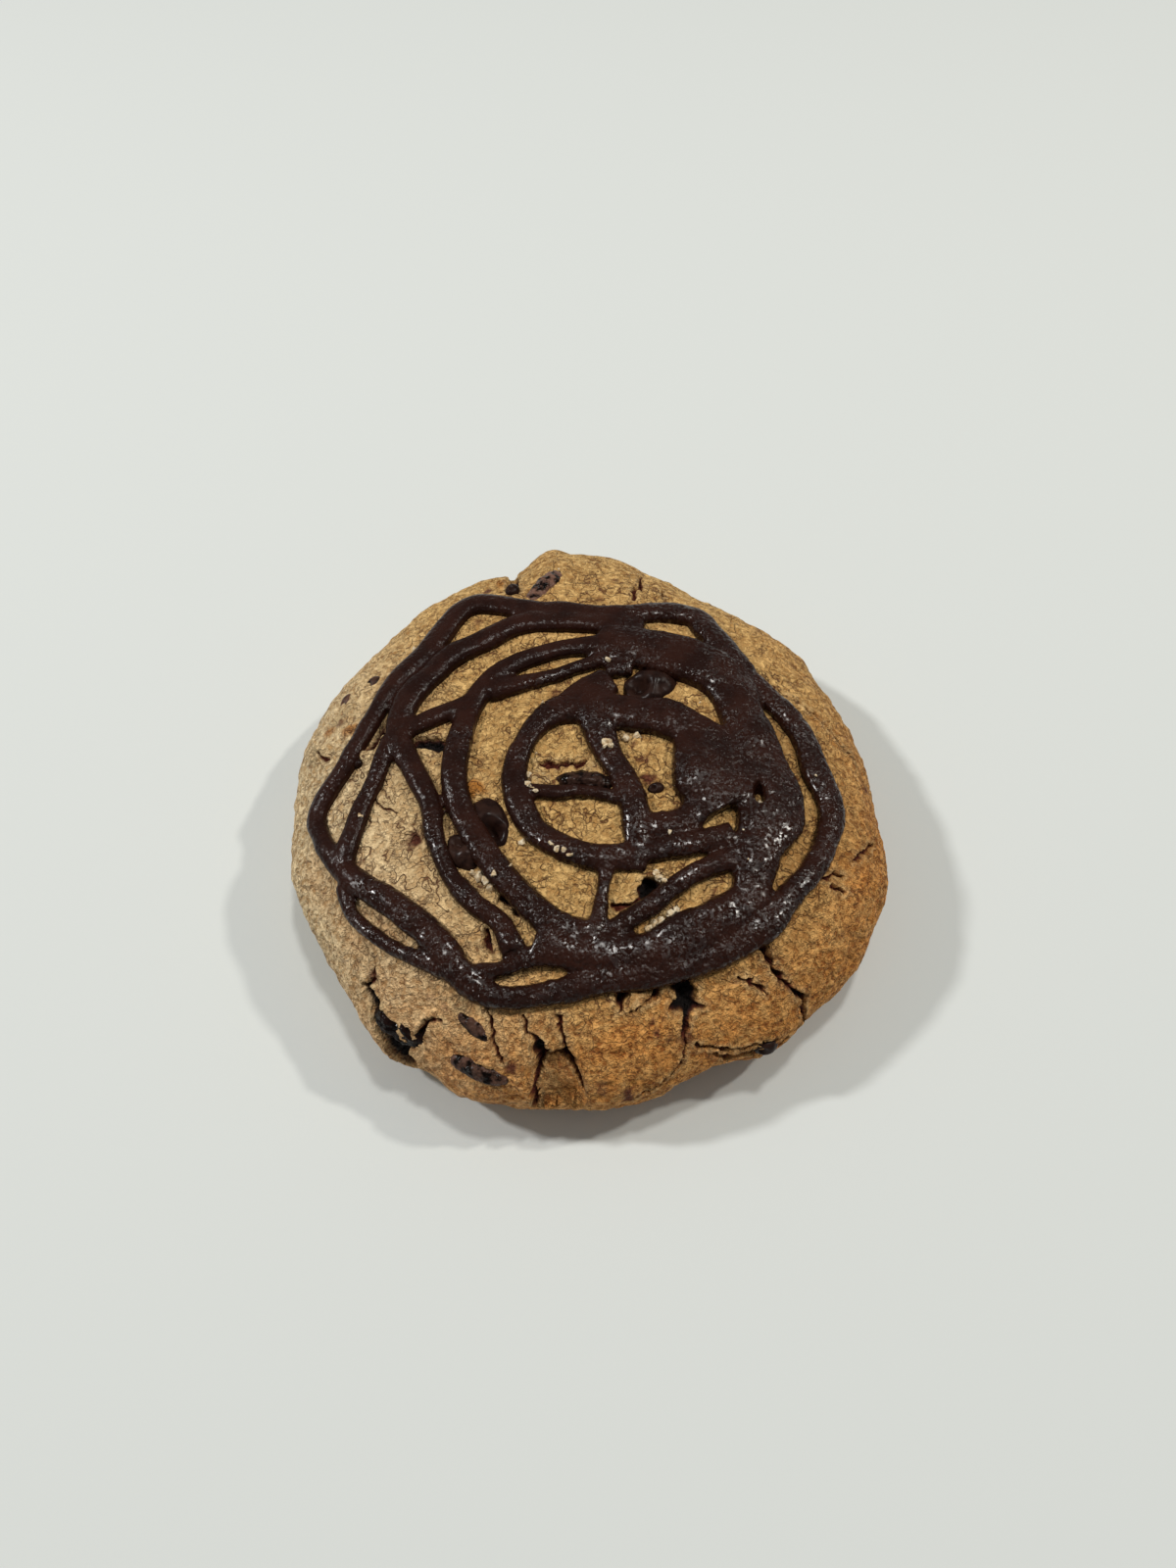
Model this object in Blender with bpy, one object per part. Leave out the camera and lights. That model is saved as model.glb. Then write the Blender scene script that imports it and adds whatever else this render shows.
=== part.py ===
# A round drop cookie, about 88 mm wide and 96 mm deep, with a drizzle of dark
# chocolate, chips, pieces of dried fruit and a cracked rim. All of it is fused
# into one solid. Metres, +Z up, the flat base at z = 0, the front at -Y.

import math

import bmesh
import bpy
from mathutils import Vector, noise

MM = 0.001

# The dough: a low crown that falls late to a rounded rim, and tucks in under it.
MEAN_RADIUS = 44.9 * MM
DOUGH_HEIGHT = 23.0 * MM
WIDEST_HEIGHT = 9.0 * MM
CROWN_POWER = 3.0
BASE_SHARE = 0.86

# The outline's waves: how many go round, depth in mm, degrees of the crest.
OUTLINE_WAVES = (
    (1, 2.4, 253), (2, 1.3, 97), (3, 1.1, 98),
    (4, 0.5, 76), (5, 0.65, 101), (6, 0.5, 25),
)

# Bulges and notches of the rim: degrees, spread in degrees, mm outwards.
RIM_FORMS = (
    (98, 3.6, 2.0), (107, 3.0, -1.4), (70, 14.0, -1.0), (24, 7.0, -0.8), (130, 12.0, 0.7),
    (200, 10.0, 0.6), (236, 4.5, 1.3), (250, 6.0, 0.9), (279, 8.0, 0.8), (301, 5.0, 1.2),
)

# The base is drawn in where the front rim lifts clear: degrees, spread, share.
BASE_LIFT = (298, 12.0, 0.10)

# Soft unevenness of the dough: size of a lump and its depth, in mm.
DOUGH_LUMPS = ((17.0, 0.9), (7.0, 0.45))

SEGMENTS = 84
CROWN_RINGS = 14
UNDER_RINGS = 4

# The drizzle: x, y and width in mm along the middle of each stretch.
OUTER_LOOP = (
    (-38.3, -10.0, 3.0), (-37.1, -6.0, 3.2), (-34.4, -1.8, 3.1), (-32.4, 2.7, 2.9),
    (-30.2, 7.6, 3.1), (-27.5, 13.0, 3.4), (-23.5, 19.0, 4.0), (-21.2, 23.0, 4.0),
    (-18.8, 25.9, 3.9), (-15.8, 26.6, 3.9), (-10.5, 25.1, 3.7), (-4.0, 24.6, 3.8),
    (5.0, 24.2, 3.8), (12.5, 24.6, 4.1), (16.2, 23.8, 4.4), (17.9, 21.0, 4.5),
    (20.2, 17.2, 4.2), (23.9, 11.8, 4.0), (29.0, 5.4, 3.9), (31.5, 0.9, 4.1),
    (32.5, -4.4, 4.4), (33.6, -9.0, 3.9), (33.4, -12.6, 3.6), (31.0, -17.9, 3.4),
    (27.4, -22.3, 3.6), (22.7, -27.5, 4.2), (16.0, -31.8, 4.3), (8.4, -34.0, 4.6),
    (2.0, -35.1, 4.3), (-3.5, -36.6, 3.3), (-8.7, -37.4, 3.0), (-12.8, -37.0, 3.3),
    (-16.2, -34.7, 3.9), (-19.2, -30.8, 4.2), (-23.9, -25.8, 3.8), (-28.8, -22.1, 3.7),
    (-33.0, -18.6, 3.5), (-36.4, -14.2, 2.9),
)
STRETCHES = {
    "second loop": (
        (6.0, 21.8, 4.0), (-1.0, 22.2, 3.8), (-6.0, 22.2, 4.0), (-10.0, 21.6, 4.0),
        (-14.0, 19.7, 3.8), (-18.0, 17.4, 4.0), (-21.6, 14.9, 4.1), (-25.4, 9.2, 4.1),
        (-27.1, 4.4, 4.0), (-26.9, 0.2, 3.8), (-23.8, -6.0, 3.5), (-21.7, -11.0, 3.0),
        (-20.7, -16.3, 2.8), (-18.6, -21.2, 2.7), (-15.2, -25.3, 2.9), (-11.5, -28.2, 2.9),
        (-9.6, -31.8, 3.4),
    ),
    "third loop": (
        (4.0, 17.4, 4.2), (-2.0, 17.0, 3.2), (-8.0, 15.2, 3.2), (-13.0, 12.4, 3.4),
        (-16.6, 8.2, 3.5), (-18.1, 3.0, 3.6), (-18.7, -5.0, 4.0), (-17.7, -11.0, 3.7),
        (-14.9, -16.7, 4.0), (-10.8, -22.4, 4.0), (-7.1, -26.3, 4.0), (-4.0, -28.6, 4.4),
        (0.5, -30.2, 4.6),
    ),
    "top inner arc": (
        (-14.5, 9.0, 3.4), (-10.0, 10.0, 3.0), (-5.0, 11.6, 2.4), (-1.0, 13.2, 2.3), (3.5, 15.3, 2.8),
    ),
    "dip": ((2.4, 12.4, 3.2), (6.2, 13.6, 3.2)),
    "left link": ((-26.0, 2.2, 2.8), (-22.0, 4.4, 3.2), (-18.0, 6.9, 3.2)),
    "left inner side": (
        (-28.4, 1.0, 2.6), (-29.5, -3.6, 2.8), (-31.7, -9.6, 3.0), (-32.6, -15.2, 3.2), (-33.1, -18.5, 3.1),
    ),
    "front left thread": (
        (-33.0, -20.8, 2.2), (-30.9, -25.1, 2.1), (-27.3, -28.5, 2.2), (-22.6, -31.8, 2.1),
        (-18.5, -33.8, 2.4),
    ),
    "front thread": ((-16.5, -34.4, 2.4), (-11.0, -33.9, 2.2), (-6.0, -32.2, 3.0), (-1.0, -33.0, 3.4)),
    "inner ring": (
        (3.0, 4.4, 5.0), (-3.0, 5.0, 5.2), (-6.2, 3.3, 4.2), (-8.9, -0.8, 3.3),
        (-10.3, -6.2, 3.8), (-9.2, -11.4, 3.8), (-6.4, -15.9, 3.8), (0.0, -19.0, 3.8),
        (6.0, -18.6, 3.5), (13.0, -17.1, 3.5), (19.0, -15.4, 3.8),
    ),
    "ring crown": ((-3.6, 5.2, 4.4), (-0.1, 7.9, 5.6), (3.0, 10.4, 4.6)),
    "ring top": ((-1.0, 5.4, 6.0), (7.0, 3.9, 6.0), (11.0, 3.2, 6.6), (14.2, 1.2, 6.2), (18.5, -1.4, 6.0)),
    "middle pillar": (
        (0.5, 9.0, 5.6), (0.9, 4.0, 5.6), (1.9, -0.6, 4.6), (3.2, -3.8, 3.8),
        (4.6, -6.6, 4.0), (5.9, -10.4, 4.2), (6.5, -14.5, 4.2), (6.8, -17.6, 3.8),
    ),
    "middle arc": ((6.5, -14.6, 3.8), (12.6, -13.6, 4.2), (15.8, -10.4, 4.4)),
    "wide band": (
        (1.5, 19.4, 4.4), (6.0, 17.4, 7.0), (14.0, 14.8, 8.2), (19.8, 10.4, 7.6),
        (22.2, 3.2, 7.2), (23.2, -4.5, 9.8), (24.5, -11.5, 10.4), (22.4, -17.6, 6.8),
        (21.0, -24.0, 5.0),
    ),
    "wide pool": ((14.4, 0.6, 5.8), (15.6, -3.5, 9.2), (16.4, -7.0, 10.2), (19.4, -10.8, 9.0)),
    "front band": (
        (-7.0, -30.6, 3.4), (0.0, -31.8, 5.2), (7.0, -31.7, 5.0), (12.5, -29.2, 6.0),
        (17.3, -26.8, 5.6), (22.3, -23.2, 5.0),
    ),
    "lower link": ((3.0, -29.4, 3.0), (9.4, -24.5, 2.9), (13.7, -21.2, 3.0), (19.5, -18.4, 3.2)),
    "ring foot": ((3.0, -20.0, 2.2), (7.6, -20.4, 1.8)),
    "short link": ((2.3, -20.5, 2.4), (1.8, -24.0, 1.8), (1.2, -27.0, 2.4), (1.0, -29.5, 3.0)),
    "crumb thread": ((-8.6, -8.8, 2.2), (-4.4, -9.3, 2.3), (-1.0, -9.0, 1.9), (4.5, -10.4, 2.2)),
}
STRAND_RISE = 0.65 * MM
STRAND_HALF_HEIGHT = 2.3 * MM
STRAND_STEP = 3.6 * MM
STRAND_SIDES = 7

# Chips and fruit: x, y, length, width and rise in mm, and degrees of the length.
PIECES = {
    "chip by the ring": (9.2, 10.0, 8.2, 6.6, 2.0, 15),
    "chip on the left": (-13.8, -13.2, 9.0, 6.4, 1.8, -60),
    "chip under the loops": (-17.1, -17.8, 6.4, 3.8, 1.7, -55),
    "chip in the notch": (-12.2, 31.4, 2.8, 2.2, 1.0, 60),
    "chip on the left rim": (-32.4, 13.3, 3.4, 2.3, 0.6, 45),
    "chip further out": (-36.5, 11.0, 3.4, 2.2, 0.5, 60),
    "chip in the ring": (9.2, -8.3, 2.4, 1.8, 0.8, 20),
    "chip at the front lip": (24.9, -41.3, 4.6, 3.4, 0.5, 28),
    "lump on the left rim": (-40.0, 1.3, 4.0, 3.0, 1.0, 60),
    "fruit in the middle": (-0.4, -7.2, 8.6, 3.4, 1.3, -6),
    "fruit at the back": (-7.2, 32.4, 10.2, 4.2, 1.0, 58),
    "fruit at the front": (-14.2, -45.4, 8.4, 2.9, 0.6, -29),
    "fruit nearer the rope": (-14.7, -40.6, 5.6, 2.0, 0.5, -42),
    "raisin in the crack": (-24.6, -39.6, 9.8, 4.2, 0.0, -36),
}
PIECE_SEGMENTS = 10
PIECE_RINGS = 5

# Cracks: degrees and share (0 at the centre, 1 at the widest level, 1.5 at the
# base) along the bottom of each, the width in mm there, and the depth in mm.
CRACKS = {
    "raisin crack": (3.2, ((231, 0.79, 2.4), (234, 0.83, 3.2), (237, 0.91, 4.4), (238.3, 1.04, 3.4))),
    "left branch": (1.4, ((228.4, 0.71, 0.6), (230, 0.75, 0.9), (231, 0.80, 1.4))),
    "right branch": (1.6, ((239.5, 0.885, 1.8), (242, 0.79, 1.1), (244, 0.71, 0.6))),
    "front gap": (2.2, ((260, 0.67, 0.9), (262, 0.745, 1.8), (265.6, 0.76, 1.6), (268.3, 0.88, 0.9))),
    "front gap left": (1.5, ((261.8, 0.76, 1.4), (261.7, 0.90, 0.9), (261.7, 1.04, 0.7))),
    "front hole": (3.4, ((288.4, 0.60, 1.9), (289, 0.65, 3.0), (287.6, 0.71, 1.4), (286.6, 0.755, 0.9))),
    "lip seam": (1.8, ((288.3, 0.81, 0.8), (290.5, 0.855, 1.0), (296.2, 0.915, 1.4), (302.6, 0.93, 1.4))),
    "front right crack": (1.7, ((306.5, 0.62, 1.1), (307.2, 0.74, 0.9), (308.5, 0.83, 1.2), (308, 1, 0.8))),
    "right crack": (1.2, ((335.4, 0.66, 0.7), (338.3, 0.71, 1.1), (343, 0.785, 0.7))),
    "right rim crack": (1.3, ((18.5, 0.56, 0.8), (12.4, 0.63, 1.0), (9.6, 0.65, 1.1), (2.5, 0.74, 0.8))),
    "back notch": (2.4, ((112, 0.53, 1.4), (110, 0.62, 2.0), (108.2, 0.72, 2.3), (107.5, 0.88, 2.1))),
    "back crack": (1.2, ((76.8, 0.64, 0.7), (76.3, 0.56, 1.0), (75.2, 0.48, 0.7))),
    "back side crack": (1.8, ((48, 0.88, 0.8), (50, 1.0, 1.8), (49, 1.15, 1.0))),
    "left side crack": (1.8, ((168, 0.90, 0.8), (170, 1.02, 1.8), (173, 1.15, 1.0))),
}
CRACK_OVERLAP = 1.2 * MM
CRACK_STEP = 2.0 * MM
CRACK_END_SHARE = 0.4

SHARP_ANGLE = math.radians(50)

DOUGH_COLOUR = (0.305, 0.18, 0.072, 1.0)
CHOCOLATE_COLOUR = (0.026, 0.0105, 0.0075, 1.0)


def clear_scene():
    for item in list(bpy.data.objects):
        bpy.data.objects.remove(item)


def make_material(name, colour, roughness):
    material = bpy.data.materials.new(name)
    material.use_nodes = True
    shader = material.node_tree.nodes["Principled BSDF"]
    shader.inputs["Base Color"].default_value = colour
    shader.inputs["Roughness"].default_value = roughness
    shader.inputs["Metallic"].default_value = 0.0
    return material


def angle_gap(angle, other):
    return (angle - other + math.pi) % (2 * math.pi) - math.pi


def bump(angle, degrees, spread):
    gap = angle_gap(angle, math.radians(degrees)) / math.radians(spread)
    return math.exp(-gap * gap)


def outline(angle):
    # Radius of the cookie at its widest level.
    radius = MEAN_RADIUS
    for count, depth, crest in OUTLINE_WAVES:
        radius += depth * MM * math.cos(count * (angle - math.radians(crest)))
    for degrees, spread, amount in RIM_FORMS:
        radius += amount * MM * bump(angle, degrees, spread)
    return radius


def relief(point):
    # Uneven height of the dough at a point of the plain form.
    total = 0.0
    for size, depth in DOUGH_LUMPS:
        total += depth * MM * noise.noise(point / (size * MM))
    return total


def dough_point(angle, share):
    # Share runs from 0 at the centre, by 1 at the widest level, to 1.5 at the base.
    tilt = min(share, 1.0) * math.pi / 2
    radius_share = math.sin(tilt)
    crown = DOUGH_HEIGHT - WIDEST_HEIGHT
    height = WIDEST_HEIGHT + crown * math.sqrt(max(0.0, 1.0 - radius_share ** CROWN_POWER))
    fade = 1.0
    if share > 1.0:
        turn = (share - 1.0) * math.pi
        degrees, spread, lift = BASE_LIFT
        drawn_in = 1.0 - BASE_SHARE + lift * bump(angle, degrees, spread)
        radius_share = 1.0 - drawn_in * (1.0 - math.cos(turn))
        height = WIDEST_HEIGHT * (1.0 - math.sin(turn))
        fade = max(0.0, math.cos(turn))
        tilt = math.pi / 2
    radius = outline(angle) * radius_share
    plain = Vector((radius * math.cos(angle), radius * math.sin(angle), height))
    outward = Vector((
        math.sin(tilt) * math.cos(angle), math.sin(tilt) * math.sin(angle), math.cos(tilt)))
    return plain + outward * relief(plain) * fade


def dough_normal(angle, share):
    step = 0.02
    share = max(share, 2 * step)
    along = dough_point(angle, share + step) - dough_point(angle, share - step)
    round_it = dough_point(angle + step, share) - dough_point(angle - step, share)
    return along.cross(round_it).normalized()


def place_on_top(x, y):
    # Angle and share of the point of the crown at x, y. Outside the outline it lies on the side.
    angle = math.atan2(y, x)
    reach = math.hypot(x, y) / outline(angle)
    return angle, math.asin(min(1.0, reach)) * 2 / math.pi + 2 * max(0.0, reach - 1.0)


def new_object(name, bm, material):
    mesh = bpy.data.meshes.new(name)
    bmesh.ops.recalc_face_normals(bm, faces=bm.faces[:])
    bm.to_mesh(mesh)
    bm.free()
    mesh.materials.append(material)
    mesh.shade_smooth()
    item = bpy.data.objects.new(name, mesh)
    bpy.context.scene.collection.objects.link(item)
    return item


def skin_rings(bm, rings, closed):
    # Joins rings of vertices into a tube, with a flat cap on each open end.
    sides = len(rings[0])
    count = len(rings) if closed else len(rings) - 1
    for index in range(count):
        ring = rings[index]
        following = rings[(index + 1) % len(rings)]
        for side in range(sides):
            beside = (side + 1) % sides
            bm.faces.new((ring[side], ring[beside], following[beside], following[side]))
    if not closed:
        bm.faces.new(rings[0])
        bm.faces.new(rings[-1])


def make_dough(material):
    bm = bmesh.new()
    shares = [(index + 1) / CROWN_RINGS for index in range(CROWN_RINGS)]
    shares += [1.0 + 0.5 * (index + 1) / UNDER_RINGS for index in range(UNDER_RINGS)]
    rings = []
    for share in shares:
        angles = [2 * math.pi * index / SEGMENTS for index in range(SEGMENTS)]
        rings.append([bm.verts.new(dough_point(angle, share)) for angle in angles])
    for ring, following in zip(rings, rings[1:]):
        for index in range(SEGMENTS):
            beside = (index + 1) % SEGMENTS
            bm.faces.new((ring[index], ring[beside], following[beside], following[index]))
    centre = bm.verts.new(dough_point(0.0, 0.0))
    for index in range(SEGMENTS):
        bm.faces.new((centre, rings[0][index], rings[0][(index + 1) % SEGMENTS]))
    for vertex in rings[-1]:
        vertex.co.z = 0.0
    bm.faces.new(rings[-1])
    return new_object("dough", bm, material)


def spline(points, closed):
    # Smooth curve through the points: a list of small tuples, one for each station.
    stations = []
    count = len(points)
    spans = count if closed else count - 1
    for index in range(spans):
        if closed:
            near = [points[(index + step) % count] for step in (-1, 0, 1, 2)]
        else:
            near = [points[min(max(index + step, 0), count - 1)] for step in (-1, 0, 1, 2)]
        length = math.dist(near[1][:2], near[2][:2]) * MM
        steps = max(1, round(length / STRAND_STEP))
        for step in range(steps):
            t = step / steps
            station = []
            for a, b, c, d in zip(*near):
                station.append(0.5 * (2 * b + (c - a) * t + (2 * a - 5 * b + 4 * c - d) * t ** 2
                                      + (3 * b - a - 3 * c + d) * t ** 3))
            stations.append(tuple(station))
    if not closed:
        stations.append(points[-1])
    return stations


def make_strand(name, points, closed, material):
    # A rope of chocolate that lies on the dough, its lower part sunk into it.
    stations = spline(points, closed)
    spots = []
    for x, y, width in stations:
        angle, share = place_on_top(x * MM, y * MM)
        half_width = width * MM / 2
        half_height = min(half_width, STRAND_HALF_HEIGHT)
        normal = dough_normal(angle, share)
        spots.append((dough_point(angle, share) + normal * STRAND_RISE, normal, half_width, half_height))
    bm = bmesh.new()
    rings = []
    for index, (centre, normal, half_width, half_height) in enumerate(spots):
        if closed:
            before = spots[index - 1][0]
            after = spots[(index + 1) % len(spots)][0]
        else:
            before = spots[max(index - 1, 0)][0]
            after = spots[min(index + 1, len(spots) - 1)][0]
        side = (after - before).normalized().cross(normal).normalized()
        ring = []
        for corner in range(STRAND_SIDES):
            turn = 2 * math.pi * (corner + 0.5) / STRAND_SIDES
            offset = side * half_width * math.cos(turn) + normal * half_height * math.sin(turn)
            ring.append(bm.verts.new(centre + offset))
        rings.append(ring)
    skin_rings(bm, rings, closed)
    return new_object(name, bm, material)


def make_piece(name, size, material):
    # A chip or a piece of fruit: a blunt lump set into the dough.
    x, y, length, width, rise, degrees = size
    angle, share = place_on_top(x * MM, y * MM)
    normal = dough_normal(angle, share)
    along = Vector((math.cos(math.radians(degrees)), math.sin(math.radians(degrees)), 0.0))
    along = (along - normal * along.dot(normal)).normalized()
    across = normal.cross(along)
    bm = bmesh.new()
    bmesh.ops.create_uvsphere(bm, u_segments=PIECE_SEGMENTS, v_segments=PIECE_RINGS, radius=0.5)
    middle = dough_point(angle, share) + normal * (rise - width / 2) * MM
    for vertex in bm.verts:
        reach = vertex.co.copy()
        vertex.co = middle + (along * reach.x * length + across * reach.y * width
                              + normal * reach.z * width) * MM
    return new_object(name, bm, material)


def make_crack(name, depth, points, material):
    # A wedge that follows the dough's surface, sharp at its bottom and open above.
    bm = bmesh.new()
    rings = []
    stations = []
    for first, second in zip(points, points[1:]):
        start = dough_point(math.radians(first[0]), first[1])
        end = dough_point(math.radians(second[0]), second[1])
        steps = max(1, round((end - start).length / CRACK_STEP))
        for step in range(steps):
            t = step / steps
            stations.append(tuple(a + (b - a) * t for a, b in zip(first, second)))
    stations.append(points[-1])
    spots = []
    for degrees, share, width in stations:
        angle = math.radians(degrees)
        spots.append((dough_point(angle, share), dough_normal(angle, share), width * MM / 2))
    for index, (centre, normal, half_width) in enumerate(spots):
        before = spots[max(index - 1, 0)][0]
        after = spots[min(index + 1, len(spots) - 1)][0]
        side = (after - before).normalized().cross(normal).normalized()
        at_end = index in (0, len(spots) - 1)
        bottom = depth * MM * (CRACK_END_SHARE if at_end else 1.0)
        open_half = half_width * (1.0 + CRACK_OVERLAP / bottom)
        top = centre + normal * CRACK_OVERLAP
        corners = (top + side * open_half, top - side * open_half, centre - normal * bottom)
        rings.append([bm.verts.new(corner) for corner in corners])
    skin_rings(bm, rings, False)
    return new_object(name, bm, material)


def combine(target, items, operation):
    # One Boolean on a collection of objects, applied, and the objects removed.
    group = bpy.data.collections.new(operation)
    bpy.context.scene.collection.children.link(group)
    for item in items:
        group.objects.link(item)
    modifier = target.modifiers.new(operation, "BOOLEAN")
    modifier.operation = operation
    modifier.operand_type = "COLLECTION"
    modifier.collection = group
    modifier.solver = "MANIFOLD"
    modifier.material_mode = "TRANSFER"
    graph = bpy.context.evaluated_depsgraph_get()
    mesh = bpy.data.meshes.new_from_object(target.evaluated_get(graph))
    target.modifiers.remove(modifier)
    target.data = mesh
    for item in items:
        bpy.data.objects.remove(item)
    bpy.data.collections.remove(group)


def volume_of(faces):
    total = 0.0
    for face in faces:
        first = face.verts[0].co
        for second, third in zip(face.verts[1:], face.verts[2:]):
            total += first.dot(second.co.cross(third.co)) / 6
    return total


def keep_largest_shell(bm):
    # Drops loose scraps and fills sealed hollows, by keeping the outer shell only.
    unseen = set(bm.faces)
    shells = []
    while unseen:
        shell = {unseen.pop()}
        edge_of = list(shell)
        while edge_of:
            face = edge_of.pop()
            for edge in face.edges:
                for other in edge.link_faces:
                    if other in unseen:
                        unseen.remove(other)
                        shell.add(other)
                        edge_of.append(other)
        shells.append(shell)
    shells.sort(key=volume_of)
    for shell in shells[:-1]:
        bmesh.ops.delete(bm, geom=list(shell), context="FACES")


def finish(item):
    # Keeps the one solid and sets the origin at the middle of its base.
    bm = bmesh.new()
    bm.from_mesh(item.data)
    keep_largest_shell(bm)
    bmesh.ops.triangulate(bm, faces=bm.faces[:])
    loose = [vertex for vertex in bm.verts if not vertex.link_faces]
    bmesh.ops.delete(bm, geom=loose, context="VERTS")
    low = Vector([min(vertex.co[axis] for vertex in bm.verts) for axis in range(3)])
    high = Vector([max(vertex.co[axis] for vertex in bm.verts) for axis in range(3)])
    middle = (low + high) / 2
    bmesh.ops.translate(bm, verts=bm.verts[:], vec=(-middle.x, -middle.y, -low.z))
    bm.to_mesh(item.data)
    bm.free()
    item.data.shade_smooth()
    item.data.set_sharp_from_angle(angle=SHARP_ANGLE)


def main():
    clear_scene()
    dough_material = make_material("baked dough", DOUGH_COLOUR, 0.8)
    chocolate_material = make_material("dark chocolate", CHOCOLATE_COLOUR, 0.35)
    cookie = make_dough(dough_material)
    cookie.name = "cookie"
    cracks = []
    for name, (depth, points) in CRACKS.items():
        cracks.append(make_crack(name, depth, points, dough_material))
    combine(cookie, cracks, "DIFFERENCE")
    toppings = [make_strand("outer loop", OUTER_LOOP, True, chocolate_material)]
    for name, points in STRETCHES.items():
        toppings.append(make_strand(name, points, False, chocolate_material))
    for name, size in PIECES.items():
        toppings.append(make_piece(name, size, chocolate_material))
    combine(cookie, toppings, "UNION")
    finish(cookie)


main()
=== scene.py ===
# Drizzled chocolate chip cookie: the fine shape and the finish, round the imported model.
import math

import bmesh
import bpy
import numpy as np
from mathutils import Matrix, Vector, noise


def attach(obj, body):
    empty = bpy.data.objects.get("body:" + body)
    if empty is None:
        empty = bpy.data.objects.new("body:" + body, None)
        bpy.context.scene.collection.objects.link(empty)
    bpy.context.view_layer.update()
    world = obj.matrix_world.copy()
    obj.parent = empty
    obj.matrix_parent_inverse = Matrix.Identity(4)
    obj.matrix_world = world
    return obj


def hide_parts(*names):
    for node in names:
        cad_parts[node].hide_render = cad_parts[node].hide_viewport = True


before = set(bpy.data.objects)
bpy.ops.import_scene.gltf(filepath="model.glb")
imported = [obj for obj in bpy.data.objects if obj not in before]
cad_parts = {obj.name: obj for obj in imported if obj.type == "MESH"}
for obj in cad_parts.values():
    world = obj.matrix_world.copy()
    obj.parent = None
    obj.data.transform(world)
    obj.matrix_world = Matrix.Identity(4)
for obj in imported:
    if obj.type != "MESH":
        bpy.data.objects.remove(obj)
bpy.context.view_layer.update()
mm = 0.001
print("model loaded:", len(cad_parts), "node")

# The model's origin is the middle of its box. The shapes below are drawn round the dough's own
# middle, so they are all moved by this much, in mm.
middle = np.array([0.506, 0.475, 0.0])


# Small helpers for node trees

def plug(tree, socket, value):
    if isinstance(value, bpy.types.NodeSocket):
        tree.links.new(value, socket)
    else:
        socket.default_value = value


def addNode(tree, kind, inputs=None, **settings):
    node = tree.nodes.new(kind)
    for name, value in settings.items():
        setattr(node, name, value)
    for name, value in (inputs or {}).items():
        plug(tree, node.inputs[name], value)
    return node


def sumUp(tree, operation, a, b=0.0):
    node = addNode(tree, "ShaderNodeMath", operation=operation)
    plug(tree, node.inputs[0], a)
    plug(tree, node.inputs[1], b)
    return node.outputs[0]


def times(tree, a, b):
    return sumUp(tree, "MULTIPLY", a, b)


def blend(tree, factor, a, b):
    node = addNode(tree, "ShaderNodeMix", data_type="RGBA")
    plug(tree, node.inputs[0], factor)
    plug(tree, node.inputs[6], a)
    plug(tree, node.inputs[7], b)
    return node.outputs[2]


def rangeOf(tree, value, low, high, newLow=0.0, newHigh=1.0):
    inputs = {"Value": value, "From Min": low, "From Max": high, "To Min": newLow, "To Max": newHigh}
    return addNode(tree, "ShaderNodeMapRange", inputs, interpolation_type="SMOOTHSTEP").outputs[0]


def tone(red, green, blue):
    # A colour as seen on screen, 0 to 255, made linear.
    seen = [value / 255 for value in (red, green, blue)]
    return [value / 12.92 if value < 0.04045 else ((value + 0.055) / 1.055) ** 2.4 for value in seen] + [1.0]


def mixVectors(tree, operation, *vectors):
    node = addNode(tree, "ShaderNodeVectorMath", operation=operation)
    for socket, value in zip(node.inputs, vectors):
        plug(tree, socket, value)
    return node


def startGroup(name, floats, result):
    # A shared effect: a place in mm and some numbers go in, one number comes out.
    group = bpy.data.node_groups.new(name, "ShaderNodeTree")
    group.interface.new_socket(name="Place", in_out="INPUT", socket_type="NodeSocketVector")
    for floatName, value in floats.items():
        socket = group.interface.new_socket(name=floatName, in_out="INPUT", socket_type="NodeSocketFloat")
        socket.default_value = value
    group.interface.new_socket(name=result, in_out="OUTPUT", socket_type="NodeSocketFloat")
    given = group.nodes.new("NodeGroupInput").outputs
    leave = group.nodes.new("NodeGroupOutput").inputs[result]
    scale = sumUp(group, "DIVIDE", 1.0, given["Size"])
    return group, given, leave, scale


def useGroup(tree, group, **values):
    node = addNode(tree, "ShaderNodeGroup", node_tree=group)
    for name, value in values.items():
        plug(tree, node.inputs[name], value)
    return node.outputs[0]


# Shared effects, all in mm of the object's own space

def makeMottle():
    # Soft clouds, cut between Low and High.
    group, given, leave, scale = startGroup("mottle", {
        "Size": 2.0, "Detail": 2.0, "Low": 0.4, "High": 0.6}, "Mask")
    cloud = addNode(group, "ShaderNodeTexNoise", {
        "Vector": given["Place"], "Scale": scale, "Detail": given["Detail"], "Roughness": 0.6})
    plug(group, leave, rangeOf(group, cloud.outputs["Fac"], given["Low"], given["High"]))
    return group


def makeGrain():
    # Fine bumps: rounded grains with a little cloud between them.
    group, given, leave, scale = startGroup("grain", {"Size": 0.5, "Cloud": 0.5}, "Height")
    cells = addNode(group, "ShaderNodeTexVoronoi", {
        "Vector": given["Place"], "Scale": scale, "Smoothness": 0.6}, feature="SMOOTH_F1")
    cloud = addNode(group, "ShaderNodeTexNoise", {
        "Vector": given["Place"], "Scale": times(group, scale, 0.7), "Detail": 3.0})
    grains = sumUp(group, "SUBTRACT", 1.0, cells.outputs["Distance"])
    plug(group, leave, sumUp(group, "ADD", grains, times(group, cloud.outputs["Fac"], given["Cloud"])))
    return group


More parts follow.
